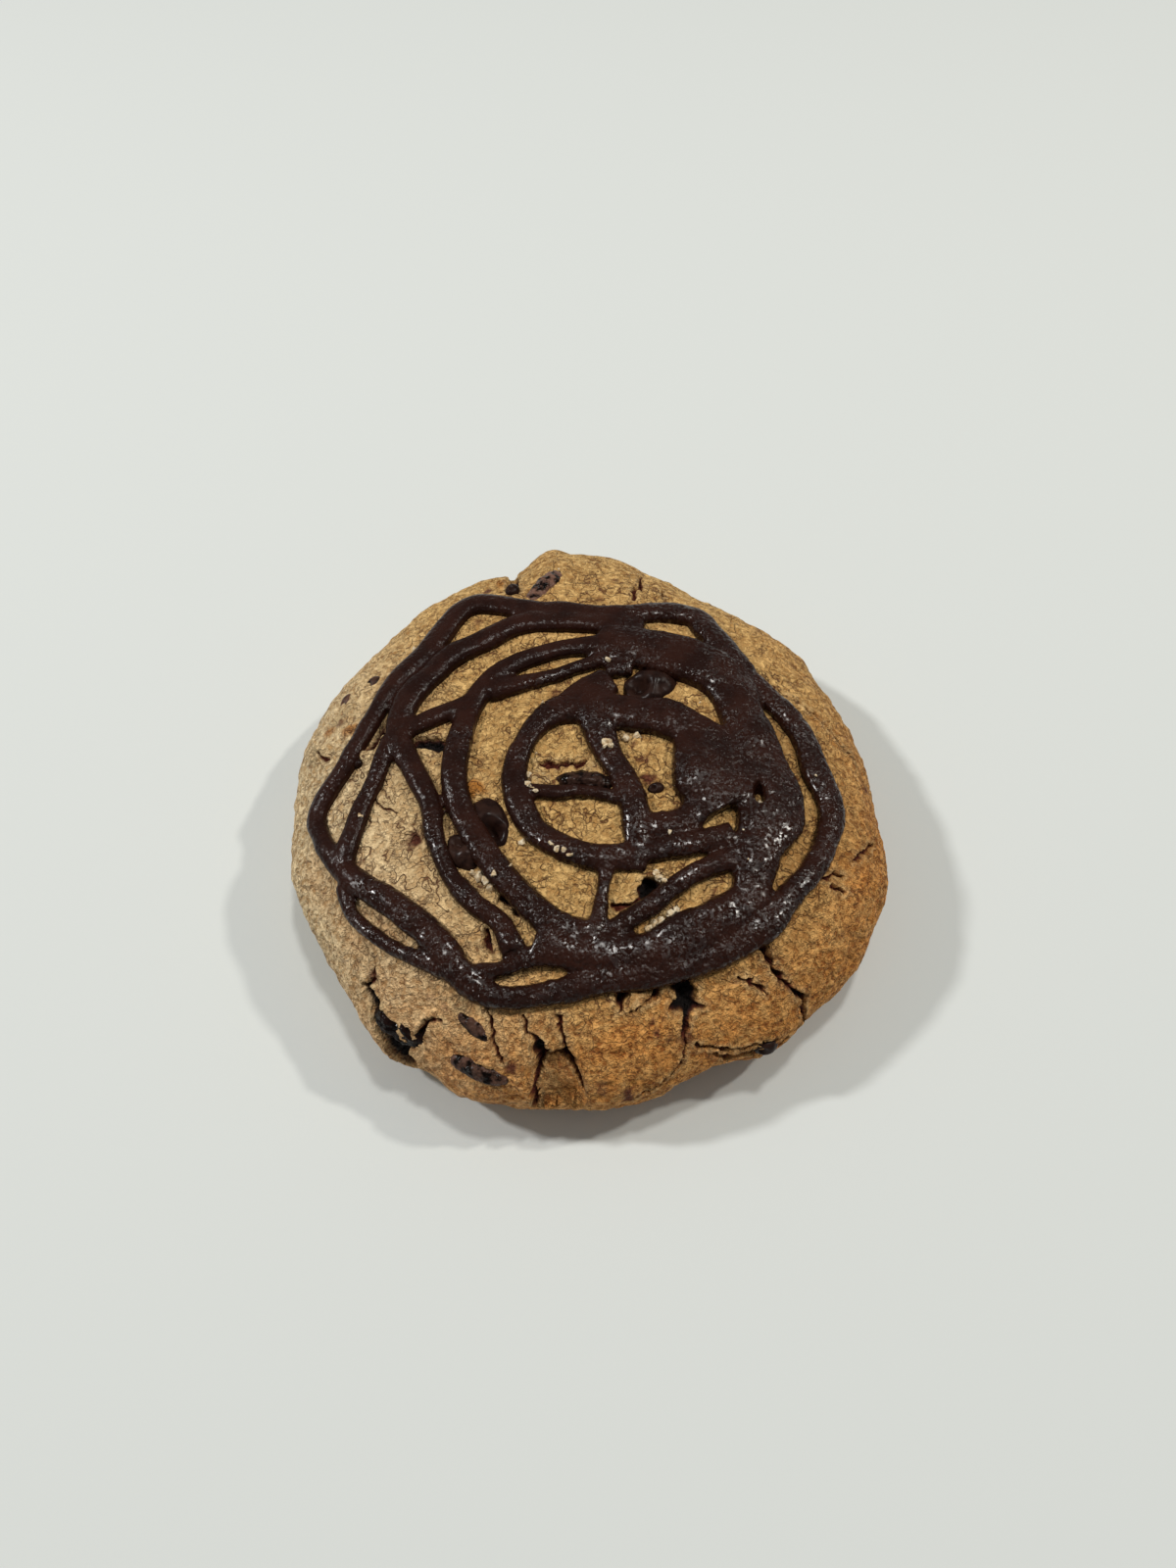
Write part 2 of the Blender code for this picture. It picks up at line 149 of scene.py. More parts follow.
def makeCreases():
    # Short curved hair lines, as in a dry crust: where a soft noise crosses its middle value.
    group, given, leave, scale = startGroup("creases", {"Size": 1.5, "Width": 0.02, "Cover": 0.5}, "Lines")
    low = sumUp(group, "SUBTRACT", given["Cover"], 0.05)
    high = sumUp(group, "ADD", given["Cover"], 0.05)
    families = []
    for stretch, aside in (((1.0, 0.7, 1.0), 0.0), ((0.75, 1.0, 1.0), 37.0)):
        moved = mixVectors(group, "MULTIPLY_ADD", given["Place"], stretch, (aside, aside, 0.0)).outputs[0]
        field = addNode(group, "ShaderNodeTexNoise", {
            "Vector": moved, "Scale": scale, "Detail": 2.5, "Roughness": 0.55})
        gap = sumUp(group, "ABSOLUTE", sumUp(group, "SUBTRACT", field.outputs["Fac"], 0.5))
        line = rangeOf(group, gap, 0.0, given["Width"], 1.0, 0.0)
        patches = addNode(group, "ShaderNodeTexNoise", {
            "Vector": moved, "Scale": times(group, scale, 0.8), "Detail": 1.0})
        families.append(times(group, line, rangeOf(group, patches.outputs["Fac"], low, high, 1.0, 0.0)))
    plug(group, leave, sumUp(group, "MAXIMUM", *families))
    return group


def makeFacets():
    # Small flat facets, each tilted its own way. Size is a facet's width, Tilt the steepest slope.
    group, given, leave, scale = startGroup("facets", {"Size": 0.4, "Tilt": 1.0}, "Height")
    cells = addNode(group, "ShaderNodeTexVoronoi", {"Vector": given["Place"], "Scale": scale}, feature="F1")
    lean = mixVectors(group, "SUBTRACT", cells.outputs["Color"], (0.5, 0.5, 0.5))
    apart = mixVectors(group, "SUBTRACT", given["Place"], cells.outputs["Position"])
    slope = mixVectors(group, "DOT_PRODUCT", lean.outputs[0], apart.outputs[0])
    plug(group, leave, times(group, slope.outputs["Value"], given["Tilt"]))
    return group


mottle = makeMottle()
grain = makeGrain()
facets = makeFacets()
creases = makeCreases()


def startMaterial(name):
    material = bpy.data.materials.new(name)
    material.use_nodes = True
    tree = material.node_tree
    shader = tree.nodes["Principled BSDF"]
    where = addNode(tree, "ShaderNodeTexCoord")
    inMm = addNode(tree, "ShaderNodeVectorMath", operation="SCALE")
    plug(tree, inMm.inputs[0], where.outputs["Object"])
    inMm.inputs["Scale"].default_value = 1000.0
    return material, tree, shader, inMm.outputs[0]


def mark(tree, name):
    return addNode(tree, "ShaderNodeAttribute", attribute_name=name).outputs["Fac"]


# Crust tones in pairs: each top tone is a painted highlight on the raised grains, and each hollow tone is painted
# shade in the low places. Both lie over the crust's own pale and toasted colours.
crust = {
    "bleached top": (250, 222, 174),
    "bleached hollow": (188, 150, 102),
    "pale top": (238, 194, 124),
    "pale hollow": (162, 114, 58),
    "toasted top": (230, 158, 80),
    "toasted hollow": (146, 82, 30),
    "line": (92, 44, 22),
    "crack": (92, 36, 20),
    # Near-black painted shade deep inside the cracks.
    "deep": (16, 7, 5),
    "stain": (92, 36, 24),
    "orange": (178, 112, 40),
    "crumb": (206, 176, 128),
}


def makeCrust():
    material, tree, shader, place = startMaterial("baked crust")
    shade = {name: tone(*seen) for name, seen in crust.items()}
    tops = useGroup(tree, mottle, Place=place, Size=0.85, Detail=3.0, Low=0.38, High=0.62)
    broad = useGroup(tree, mottle, Place=place, Size=4.0, Detail=4.0, Low=0.3, High=0.7)
    towardsRim = mark(tree, "granular")
    granular = rangeOf(tree, towardsRim, 0.0, 1.0, 0.5, 0.95)
    ridges = useGroup(tree, creases, Place=place, Size=1.05, Width=0.05, Cover=0.6)
    ridges = times(tree, ridges, rangeOf(tree, towardsRim, 0.0, 1.0, 0.2, 0.6))
    # The relief's grains and ridges also set the colour. Raised places get a painted highlight and low places
    # painted shade, mixed with the broad random tone.
    toneAndReliefShade = times(tree, sumUp(tree, "SUBTRACT", tops, 0.5), granular)
    toneAndReliefShade = sumUp(tree, "ADD", toneAndReliefShade, ridges)
    toneAndReliefShade = sumUp(tree, "ADD", toneAndReliefShade, rangeOf(tree, broad, 0.0, 1.0, 0.4, 0.65))
    pale = blend(tree, toneAndReliefShade, shade["pale hollow"], shade["pale top"])
    paleAndLitLeft = blend(tree, toneAndReliefShade, shade["bleached hollow"], shade["bleached top"])
    # Towards the left the crust is painted paler: partly its own tone, partly painted light from that side.
    pale = blend(tree, mark(tree, "paleAndLitLeft"), pale, paleAndLitLeft)
    toasted = blend(tree, toneAndReliefShade, shade["toasted hollow"], shade["toasted top"])
    patchy = useGroup(tree, mottle, Place=place, Size=2.2, Detail=4.0, Low=0.3, High=0.7)
    browned = times(tree, mark(tree, "toast"), rangeOf(tree, patchy, 0.0, 1.0, 0.6, 1.0))
    colour = blend(tree, browned, pale, toasted)
    colour = blend(tree, mark(tree, "orange"), colour, shade["orange"])
    # Broken crust shows its pale crumb. Along each crack's raised lip, the same crumb tone is a painted
    # highlight.
    crumbAndHighlight = sumUp(tree, "MAXIMUM", mark(tree, "broken"), times(tree, mark(tree, "lip"), 0.55))
    colour = blend(tree, times(tree, crumbAndHighlight, rangeOf(tree, tops, 0.0, 1.0, 0.35, 1.0)),
                   colour, shade["crumb"])
    fine = useGroup(tree, creases, Place=place, Size=1.4, Width=0.026, Cover=0.49)
    long = useGroup(tree, creases, Place=place, Size=3.0, Width=0.018, Cover=0.5)
    hair = sumUp(tree, "MAXIMUM", times(tree, fine, 0.7), long)
    hair = times(tree, hair, rangeOf(tree, towardsRim, 0.0, 1.0, 1.0, 0.6))
    colour = blend(tree, times(tree, hair, 0.9), colour, shade["line"])
    colour = blend(tree, mark(tree, "stain"), colour, shade["stain"])
    colour = blend(tree, mark(tree, "crack"), colour, shade["crack"])
    # Painted shade: deep inside the cracks the colour goes near-black.
    colour = blend(tree, mark(tree, "deep"), colour, shade["deep"])
    plug(tree, shader.inputs["Base Color"], colour)
    plug(tree, shader.inputs["Roughness"], rangeOf(tree, tops, 0.0, 1.0, 0.9, 0.7))
    height = sumUp(tree, "ADD", tops, useGroup(tree, grain, Place=place, Size=0.5, Cloud=0.8))
    height = sumUp(tree, "ADD", height, times(tree, ridges, 0.9))
    height = sumUp(tree, "SUBTRACT", height, times(tree, hair, 1.2))
    relief = addNode(tree, "ShaderNodeBump", {"Strength": 0.9, "Distance": 0.00034, "Height": height})
    plug(tree, shader.inputs["Normal"], relief.outputs["Normal"])
    shader.inputs["Specular IOR Level"].default_value = 0.25
    return material


chocolate = {
    "dark": (33, 15, 10),
    "light": (46, 23, 16),
    "specular": 0.13,
    "coat roughness": 0.23,
}


def makeChocolate():
    material, tree, shader, place = startMaterial("drizzled chocolate")
    broad = useGroup(tree, mottle, Place=place, Size=5.0, Detail=3.0, Low=0.35, High=0.65)
    colour = blend(tree, broad, tone(*chocolate["dark"]), tone(*chocolate["light"]))
    plug(tree, shader.inputs["Base Color"], colour)
    sparkling = rangeOf(tree, mark(tree, "rough"), 0.0, 1.0, 0.0, 1.0)
    patchy = useGroup(tree, mottle, Place=place, Size=0.9, Detail=2.0, Low=0.4, High=0.6)
    clusters = useGroup(tree, mottle, Place=place, Size=3.2, Detail=3.0, Low=0.44, High=0.6)
    satin = rangeOf(tree, patchy, 0.0, 1.0, 0.23, 0.31)
    plug(tree, shader.inputs["Roughness"], sumUp(tree, "SUBTRACT", satin, times(tree, sparkling, 0.13)))
    height = times(tree, useGroup(tree, grain, Place=place, Size=0.6, Cloud=1.2), 0.2)
    tilted = useGroup(tree, facets, Place=place, Size=0.42, Tilt=0.35)
    tilted = times(tree, tilted, rangeOf(tree, clusters, 0.0, 1.0, 0.45, 1.0))
    height = sumUp(tree, "ADD", height, tilted)
    soft = times(tree, height, rangeOf(tree, sparkling, 0.0, 1.0, 0.4, 1.0))
    relief = addNode(tree, "ShaderNodeBump", {"Strength": 1.0, "Distance": mm, "Height": soft})
    plug(tree, shader.inputs["Normal"], relief.outputs["Normal"])
    dots = useGroup(tree, mottle, Place=place, Size=0.5, Detail=1.0, Low=0.48, High=0.56)
    shiny = times(tree, dots, rangeOf(tree, clusters, 0.0, 1.0, 0.3, 1.0))
    shiny = times(tree, shiny, rangeOf(tree, sparkling, 0.0, 1.0, 0.12, 1.0))
    plug(tree, shader.inputs["Coat Weight"], shiny)
    shader.inputs["Coat Roughness"].default_value = chocolate["coat roughness"]
    shader.inputs["Specular IOR Level"].default_value = chocolate["specular"]
    return material


def makeGlossy(name, dark, light, size, depth, low, high):
    # Chips and fruit: two dark tones, a dusty bloom, wrinkled or smooth by the bumps' size and depth.
    material, tree, shader, place = startMaterial(name)
    broad = useGroup(tree, mottle, Place=place, Size=size * 2, Detail=3.0, Low=0.35, High=0.65)
    colour = blend(tree, broad, tone(*dark), tone(*light))
    dusty = useGroup(tree, mottle, Place=place, Size=1.2, Detail=4.0, Low=0.4, High=0.6)
    colour = blend(tree, times(tree, mark(tree, "bloom"), dusty), colour, tone(120, 88, 74))
    plug(tree, shader.inputs["Base Color"], colour)
    plug(tree, shader.inputs["Roughness"], rangeOf(tree, broad, 0.0, 1.0, low, high))
    height = useGroup(tree, grain, Place=place, Size=size, Cloud=1.0)
    relief = addNode(tree, "ShaderNodeBump", {"Strength": 0.7, "Distance": depth * mm, "Height": height})
    plug(tree, shader.inputs["Normal"], relief.outputs["Normal"])
    shader.inputs["Specular IOR Level"].default_value = 0.1
    return material


def makePlain(name, dark, light, size, roughness):
    material, tree, shader, place = startMaterial(name)
    broad = useGroup(tree, mottle, Place=place, Size=size, Detail=3.0, Low=0.4, High=0.6)
    plug(tree, shader.inputs["Base Color"], blend(tree, broad, tone(*dark), tone(*light)))
    shader.inputs["Roughness"].default_value = roughness
    return material


crustFinish = makeCrust()
chocolateFinish = makeChocolate()
chipFinish = makeGlossy("chip chocolate", (30, 17, 14), (46, 28, 22), 0.8, 0.05, 0.25, 0.4)
fruitFinish = makeGlossy("dried fruit", (10, 5, 4), (32, 16, 12), 0.6, 0.26, 0.12, 0.28)
crumbFinish = makePlain("pale crumb", (232, 216, 186), (204, 176, 134), 0.6, 0.85)
print("finishes made")


# Small helpers for meshes

def addPiece(name, mesh, finish):
    if finish.name not in mesh.materials:
        mesh.materials.clear()
        mesh.materials.append(finish)
    piece = bpy.data.objects.new(name, mesh)
    bpy.context.scene.collection.objects.link(piece)
    return piece


def meshFrom(bm, name):
    mesh = bpy.data.meshes.new(name)
    bm.to_mesh(mesh)
    bm.free()
    mesh.shade_smooth()
    return mesh


def addLayer(mesh, name, values):
    layer = mesh.attributes.new(name, "FLOAT", "POINT")
    layer.data.foreach_set("value", np.asarray(values, np.float32))


# The dough's form: the same plain form as the model's, then its finer relief

dough = {
    "meanRadius": 44.7,
    "height": 23.0,
    "widest": 9.0,
    "crownPower": 3.0,
    "baseShare": 0.86,
    "waves": ((1, 2.4, 253), (2, 1.3, 97), (3, 1.1, 98), (4, 0.5, 76), (5, 0.65, 101), (6, 0.5, 25)),
    "rimForms": ((98, 3.6, 2.0), (107, 3.0, -1.4), (70, 14.0, -1.0), (24, 7.0, -0.8), (130, 12.0, 0.7),
                 (200, 10.0, 0.6), (236, 4.5, 1.3), (250, 6.0, 0.9), (279, 8.0, 0.8), (301, 5.0, 1.2)),
    "baseLift": (298, 12.0, 0.10),
    "lumps": ((17.0, 0.9), (7.0, 0.45)),
    "grains": ((3.1, 0.16, 3), (1.6, 0.13, 5), (0.95, 0.08, 7), (0.6, 0.045, 9)),  # size, depth and seed
    "sheetRadius": 50.0,  # the share of 1 lies this far out on the flat sheet that is bent into the dough
    "rings": 106,
    "skirtRings": 14,
    "finerNear": (0.55, 0.24),
    "toastedAt": 305,
}


def bumpAt(angle, degrees, spread):
    gap = (angle - math.radians(degrees) + math.pi) % (2 * math.pi) - math.pi
    return np.exp(-(gap / math.radians(spread)) ** 2)


def outline(angle):
    radius = np.full(np.shape(angle), dough["meanRadius"])
    for count, depth, crest in dough["waves"]:
        radius = radius + depth * np.cos(count * (angle - math.radians(crest)))
    for degrees, spread, amount in dough["rimForms"]:
        radius = radius + amount * bumpAt(angle, degrees, spread)
    return radius


def lumpsAt(points):
    total = np.zeros(len(points))
    for size, depth in dough["lumps"]:
        total += [depth * noise.noise(Vector(point) / size) for point in points.tolist()]
    return total


def plainDough(angle, share):
    # Points in mm and the way out from the dough. Share is 0 at the centre, 1 at the widest
    # level and 1.5 at the base.
    tilt = np.minimum(share, 1.0) * math.pi / 2
    reach = np.sin(tilt)
    crown = dough["height"] - dough["widest"]
    height = dough["widest"] + crown * np.sqrt(np.maximum(0.0, 1.0 - reach ** dough["crownPower"]))
    turn = np.maximum(share - 1.0, 0.0) * math.pi
    degrees, spread, lift = dough["baseLift"]
    drawnIn = 1.0 - dough["baseShare"] + lift * bumpAt(angle, degrees, spread)
    under = share > 1.0
    reach = np.where(under, 1.0 - drawnIn * (1.0 - np.cos(turn)), reach)
    height = np.where(under, dough["widest"] * (1.0 - np.sin(turn)), height)
    radius = outline(angle) * reach
    points = np.stack([radius * np.cos(angle), radius * np.sin(angle), height], axis=1)
    out = np.stack([np.sin(tilt) * np.cos(angle), np.sin(tilt) * np.sin(angle), np.cos(tilt)], axis=1)
    fade = np.clip(np.cos(turn), 0.0, 1.0)
    return points, out, fade


def doughSurface(angle, share):
    points, out, fade = plainDough(angle, share)
    return points + out * (lumpsAt(points) * fade)[:, None]


def doughNormal(angle, share, step=0.02):
    share = np.maximum(share, 2 * step)
    along = doughSurface(angle, share + step) - doughSurface(angle, share - step)
    around = doughSurface(angle + step, share) - doughSurface(angle - step, share)
    normal = np.cross(along, around)
    return normal / np.linalg.norm(normal, axis=1)[:, None]


def onTop(x, y):
    # Angle and share of the crown at x, y in mm. A place outside the outline lies lower on the side.
    x = np.asarray(x, float)
    y = np.asarray(y, float)
    angle = np.arctan2(y, x)
    reach = np.hypot(x, y) / outline(angle)
    return angle, np.arcsin(np.minimum(reach, 1.0)) * 2 / math.pi + np.maximum(reach - 1.0, 0.0) * 2


softTable = {
    "count": 4096,  # a power of two
    "spread": (73856093, 19349663, 83492791),
}


def softNoise(points, size, seed):
    # Smooth values from -1 to 1 that change over about each size, in mm.
    table = np.random.default_rng(seed).uniform(-1.0, 1.0, softTable["count"])
    cell = points / size
    corner = np.floor(cell).astype(np.int64)
    part = cell - corner
    part = part * part * (3.0 - 2.0 * part)
    total = np.zeros(len(points))
    for step in np.ndindex(2, 2, 2):
        spot = corner + np.array(step)
        mixed = spot * np.array(softTable["spread"])
        key = (mixed[:, 0] ^ mixed[:, 1] ^ mixed[:, 2]) & (softTable["count"] - 1)
        weight = np.prod(np.where(np.array(step) == 1, part, 1.0 - part), axis=1)
        total += weight * table[key]
    return total


def smoothStep(value, low, high):
    t = np.clip((value - low) / (high - low), 0.0, 1.0)
    return t * t * (3.0 - 2.0 * t)


# Cracks: depth in mm, then degrees, share and width in mm along each
cracks = {
    "raisin crack": (3.4, ((229.4, 0.79, 2.2), (232, 0.80, 3.4), (234.2, 0.82, 4.0), (236.4, 0.86, 4.6),
                           (238.4, 0.92, 5.0), (239.6, 0.98, 5.0), (240.0, 1.06, 3.0))),
    "raisin crack end": (0.9, ((225.8, 0.69, 0.35), (228.4, 0.708, 0.4), (230, 0.748, 0.5), (229.4, 0.79, 0.9))),
    "raisin branch": (1.6, ((240.2, 0.885, 1.9), (242, 0.793, 1.0), (242.8, 0.739, 0.7), (244.4, 0.70, 0.3))),
    "front gap top": (2.4, ((258.5, 0.627, 0.35), (259.6, 0.659, 0.5), (261, 0.686, 0.9), (261.8, 0.741, 1.7),
                            (263.6, 0.765, 1.8), (265.5, 0.757, 1.4), (266.7, 0.80, 1.0), (267.4, 0.84, 0.7),
                            (269.2, 0.917, 0.5))),
    "front gap left": (1.6, ((261.8, 0.741, 1.5), (261.9, 0.79, 1.0), (261.6, 0.90, 0.7), (261.7, 1.05, 0.6))),
    "front gap right": (1.2, ((264.4, 0.608, 0.35), (265.1, 0.64, 0.45), (265.9, 0.679, 0.5),
                              (266.2, 0.715, 0.6), (265.5, 0.757, 0.9))),
    "front thin crack": (0.9, ((251.8, 0.609, 0.35), (252.8, 0.652, 0.5), (254.3, 0.69, 0.5),
                               (255.8, 0.738, 0.45), (256.8, 0.767, 0.4))),
    "front hole": (3.6, ((288.4, 0.60, 1.8), (289.2, 0.65, 2.5), (288.8, 0.69, 1.9), (287.3, 0.715, 1.2),
                         (286.6, 0.755, 1.0))),
    "front hole arm": (3.0, ((285.2, 0.655, 1.2), (288, 0.665, 2.0), (291.4, 0.69, 0.8))),
    "lip seam": (2.0, ((288.3, 0.81, 0.7), (289.1, 0.833, 0.9), (290.5, 0.855, 0.8), (293.9, 0.90, 0.9),
                       (296.2, 0.915, 1.0), (298.5, 0.91, 1.2), (300.9, 0.92, 1.3), (302.6, 0.93, 0.9))),
    "lip hollow": (1.2, ((291.5, 0.90, 1.0), (294, 0.955, 2.0), (298.5, 0.98, 2.6), (303, 0.98, 2.2))),
    "lip crease": (0.5, ((286.6, 0.765, 0.3), (286.2, 0.836, 0.35), (283.8, 0.897, 0.4),
                         (280.1, 0.951, 0.45), (277, 0.99, 0.35))),
    "front right crack": (1.8, ((306.6, 0.60, 1.2), (306, 0.655, 0.7), (306.5, 0.688, 1.0), (307.3, 0.719, 0.7),
                                (307.4, 0.762, 0.45), (307.9, 0.795, 1.0), (308.5, 0.834, 1.3),
                                (308.1, 0.915, 0.9), (307.8, 1.03, 0.6))),
    "front right thin crack": (0.8, ((298.8, 0.632, 0.45), (300.7, 0.642, 0.45), (301.8, 0.671, 0.6),
                                     (302.4, 0.704, 0.45), (303.1, 0.724, 0.3))),
    "wedge": (1.6, ((276.2, 0.56, 1.8), (275.6, 0.612, 0.6))),
    "second wedge": (1.5, ((284, 0.59, 1.0), (282.3, 0.603, 1.2), (280.3, 0.612, 1.0), (278.2, 0.624, 0.4))),
    "gap under the rope": (1.6, ((279.0, 0.56, 0.6), (282.5, 0.572, 1.1), (287.0, 0.592, 1.2))),
    "right crack": (1.2, ((335.4, 0.66, 0.5), (338.3, 0.708, 0.9), (343.0, 0.786, 0.4))),
    "right small crack": (0.8, ((327.5, 0.585, 0.4), (328.9, 0.604, 0.6), (332, 0.646, 0.4))),
    "right smaller crack": (0.7, ((327.6, 0.622, 0.5), (328.4, 0.665, 0.4))),
    "right rim crack": (1.2, ((22.7, 0.53, 0.5), (18.5, 0.564, 0.8), (14.3, 0.59, 0.8), (12.4, 0.628, 0.9),
                              (9.6, 0.651, 1.1), (7, 0.672, 0.9), (3.9, 0.703, 0.7), (1.8, 0.75, 0.6),
                              (357, 0.795, 0.4))),
    "back notch": (2.4, ((112, 0.53, 1.2), (110, 0.62, 1.7), (108.4, 0.70, 1.9), (107.5, 0.88, 1.9))),
    "back crack": (1.0, ((76.8, 0.645, 0.4), (76.2, 0.56, 0.7), (76.4, 0.503, 0.8), (75, 0.47, 0.5))),
    "back thin crack": (0.8, ((69.5, 0.60, 0.3), (68.6, 0.555, 0.55))),
    "left pocket crack": (0.5, ((194.5, 0.479, 0.25), (198.7, 0.455, 0.35), (203.2, 0.433, 0.25))),
    "left rim crack": (0.9, ((178.9, 0.632, 0.4), (179.6, 0.676, 0.6), (176.9, 0.70, 0.4))),
    "left pocket hollow": (2.0, ((179.0, 0.40, 1.3), (179.8, 0.36, 1.8), (181.1, 0.29, 1.9))),
    "gap between ropes": (1.6, ((169, 0.455, 1.2), (172, 0.475, 1.6), (178.5, 0.505, 1.5))),
    "middle hole": (2.6, ((286.5, 0.352, 1.3), (288.6, 0.36, 2.6), (291, 0.367, 1.6))),
    "middle hole crack": (0.8, ((276.5, 0.372, 0.4), (281.5, 0.374, 0.7), (287, 0.366, 1.0))),
    "left hole": (2.2, ((245.5, 0.352, 1.0), (247.3, 0.368, 1.9), (250, 0.388, 1.4))),
    "pocket end hole": (1.2, ((245.6, 0.452, 0.7), (247.6, 0.474, 1.1))),
    "middle crack": (0.9, ((211, 0.112, 0.5), (224, 0.086, 0.7), (246, 0.058, 0.6), (262, 0.05, 0.4))),
    "back side crack": (1.8, ((48, 0.88, 0.6), (50, 1.0, 1.8), (49, 1.15, 1.0))),
    "left side crack": (1.8, ((168, 0.90, 0.6), (170, 1.02, 1.8), (173, 1.15, 1.0))),
}


def flatPlace(degrees, share):
    angle = math.radians(degrees)
    reach = share * dough["sheetRadius"]
    return np.array([reach * math.cos(angle), reach * math.sin(angle)])


def crackField(flat):
    # How far into each crack a point lies: depth in mm, colour mask and raised lip. The lip's pale band along the
    # crack's edge is also a painted highlight.
    wander = np.zeros_like(flat)
    flat3 = np.column_stack([flat, np.zeros(len(flat))])
    for axis in range(2):
        wander[:, axis] = 0.36 * softNoise(flat3, 2.2, 31 + axis) + 0.30 * softNoise(flat3, 0.95, 41 + axis)
        wander[:, axis] += 0.15 * softNoise(flat3, 0.5, 51 + axis)
    spots = flat + wander
    depth = np.zeros(len(flat))
    mask = np.zeros(len(flat))
    lip = np.zeros(len(flat))
    near = np.full(len(flat), 1e9)
    for deep, stations in cracks.values():
        for first, second in zip(stations, stations[1:]):
            start = flatPlace(first[0], first[1])
            run = flatPlace(second[0], second[1]) - start
            along = np.clip(((spots - start) @ run) / (run @ run), 0.0, 1.0)
            apart = np.linalg.norm(spots - start - along[:, None] * run, axis=1)
            half = 0.5 * (first[2] + (second[2] - first[2]) * along)
            inside = np.clip(1.0 - apart / half, 0.0, 1.0)
            depth = np.maximum(depth, np.minimum(deep, 1.8 * half + 0.4) * inside ** 0.5)
            mask = np.maximum(mask, smoothStep(inside, 0.0, 0.3))
            lip = np.maximum(lip, np.exp(-((apart - half - 0.25) / 0.28) ** 2) * (apart > half))
            near = np.minimum(near, apart - half)
    return depth, mask, lip, near


# Places on the crust, in mm: x, y, radius and strength
marks = {
    "stain": ((-24.2, -15.6, 1.5, 0.95), (-16.2, 31.7, 1.1, 0.9), (-28.2, -33.0, 0.8, 0.8),
              (-9.9, -45.2, 0.9, 0.9), (8.1, -39.8, 0.5, 0.9), (8.6, -41.0, 0.6, 0.8), (10.2, -41.4, 0.6, 0.7),
              (12.6, -41.0, 1.0, 0.7), (-0.1, 32.5, 0.7, 0.6), (4.2, 33.3, 0.6, 0.7), (1.8, 28.2, 0.6, 0.7),
              (-36.6, 6.4, 0.8, 0.6), (-16.8, 23.0, 0.8, 0.8), (7.5, -3.4, 0.7, 0.8), (6.4, -0.8, 0.6, 0.7),
              (8.0, -6.8, 1.3, 0.95), (16.4, -23.2, 0.5, 0.9), (16.2, -24.6, 0.9, 0.8), (31.6, 18.0, 0.8, 0.5),
              (40.7, -3.1, 0.6, 0.7), (34.3, -27.1, 0.5, 0.5), (1.6, -46.8, 0.8, 0.5), (5.0, -47.2, 0.8, 0.9),
              (-20.4, -36.8, 0.7, 0.4), (-18.5, -38.0, 0.6, 0.5), (-5.0, 8.6, 0.9, 0.8), (26.3, -34.4, 0.6, 0.7)),
    "broken": ((-6.9, -7.0, 2.0, 0.9), (0.6, -5.4, 1.9, 0.7), (9.8, -22.0, 1.5, 0.9), (-13.4, -22.0, 2.2, 0.9),
               (10.2, -27.0, 2.0, 0.9), (8.4, -28.4, 1.3, 0.9), (-16.2, -38.2, 1.6, 0.7), (-36.6, 8.0, 2.4, 0.7),
               (-39.4, 1.9, 1.8, 0.6), (15.4, -21.0, 1.6, 0.6), (-32.2, -0.4, 1.4, 0.6), (-4.2, -46.6, 2.6, 0.25),
               (6.1, -37.4, 1.3, 0.6), (-27.4, -36.9, 0.9, 0.8), (5.4, 0.6, 1.4, 0.8), (-12.0, -29.6, 1.6, 0.6)),
    "pit": ((7.4, 9.4, 2.6, 1.9), (-13.2, -15.0, 2.4, 1.7), (-24.2, -15.6, 1.3, 0.9), (-4.2, -46.8, 3.4, 2.2),
            (-0.4, -8.8, 1.6, 0.4)),
    "raise": ((-39.4, 1.9, 1.8, 0.6), (-15.5, -8.0, 1.5, 0.9), (-6.9, -7.0, 1.8, 0.6), (0.6, -5.4, 1.7, 0.8),
              (-14.0, 33.6, 1.2, 0.7), (-34.8, 4.4, 1.2, 0.4), (6.1, -37.4, 1.2, 0.7), (-32.0, -0.6, 1.3, 0.7)),
    "orange": ((-14.0, 33.6, 1.3, 0.9), (-38.6, 5.7, 1.1, 0.8), (-34.8, 4.4, 1.4, 0.8), (-15.6, -8.0, 1.7, 0.9),
               (33.9, 6.9, 1.6, 0.5), (36.6, 3.6, 1.3, 0.5)),
}


def markField(points, name):
    total = np.zeros(len(points))
    for x, y, radius, strength in marks[name]:
        apart = np.hypot(points[:, 0] - x, points[:, 1] - y)
        apart = apart + 0.35 * radius * softNoise(points, radius * 0.8, 53)
        total = np.maximum(total, strength * smoothStep(apart, radius * 1.15, radius * 0.55))
    return total


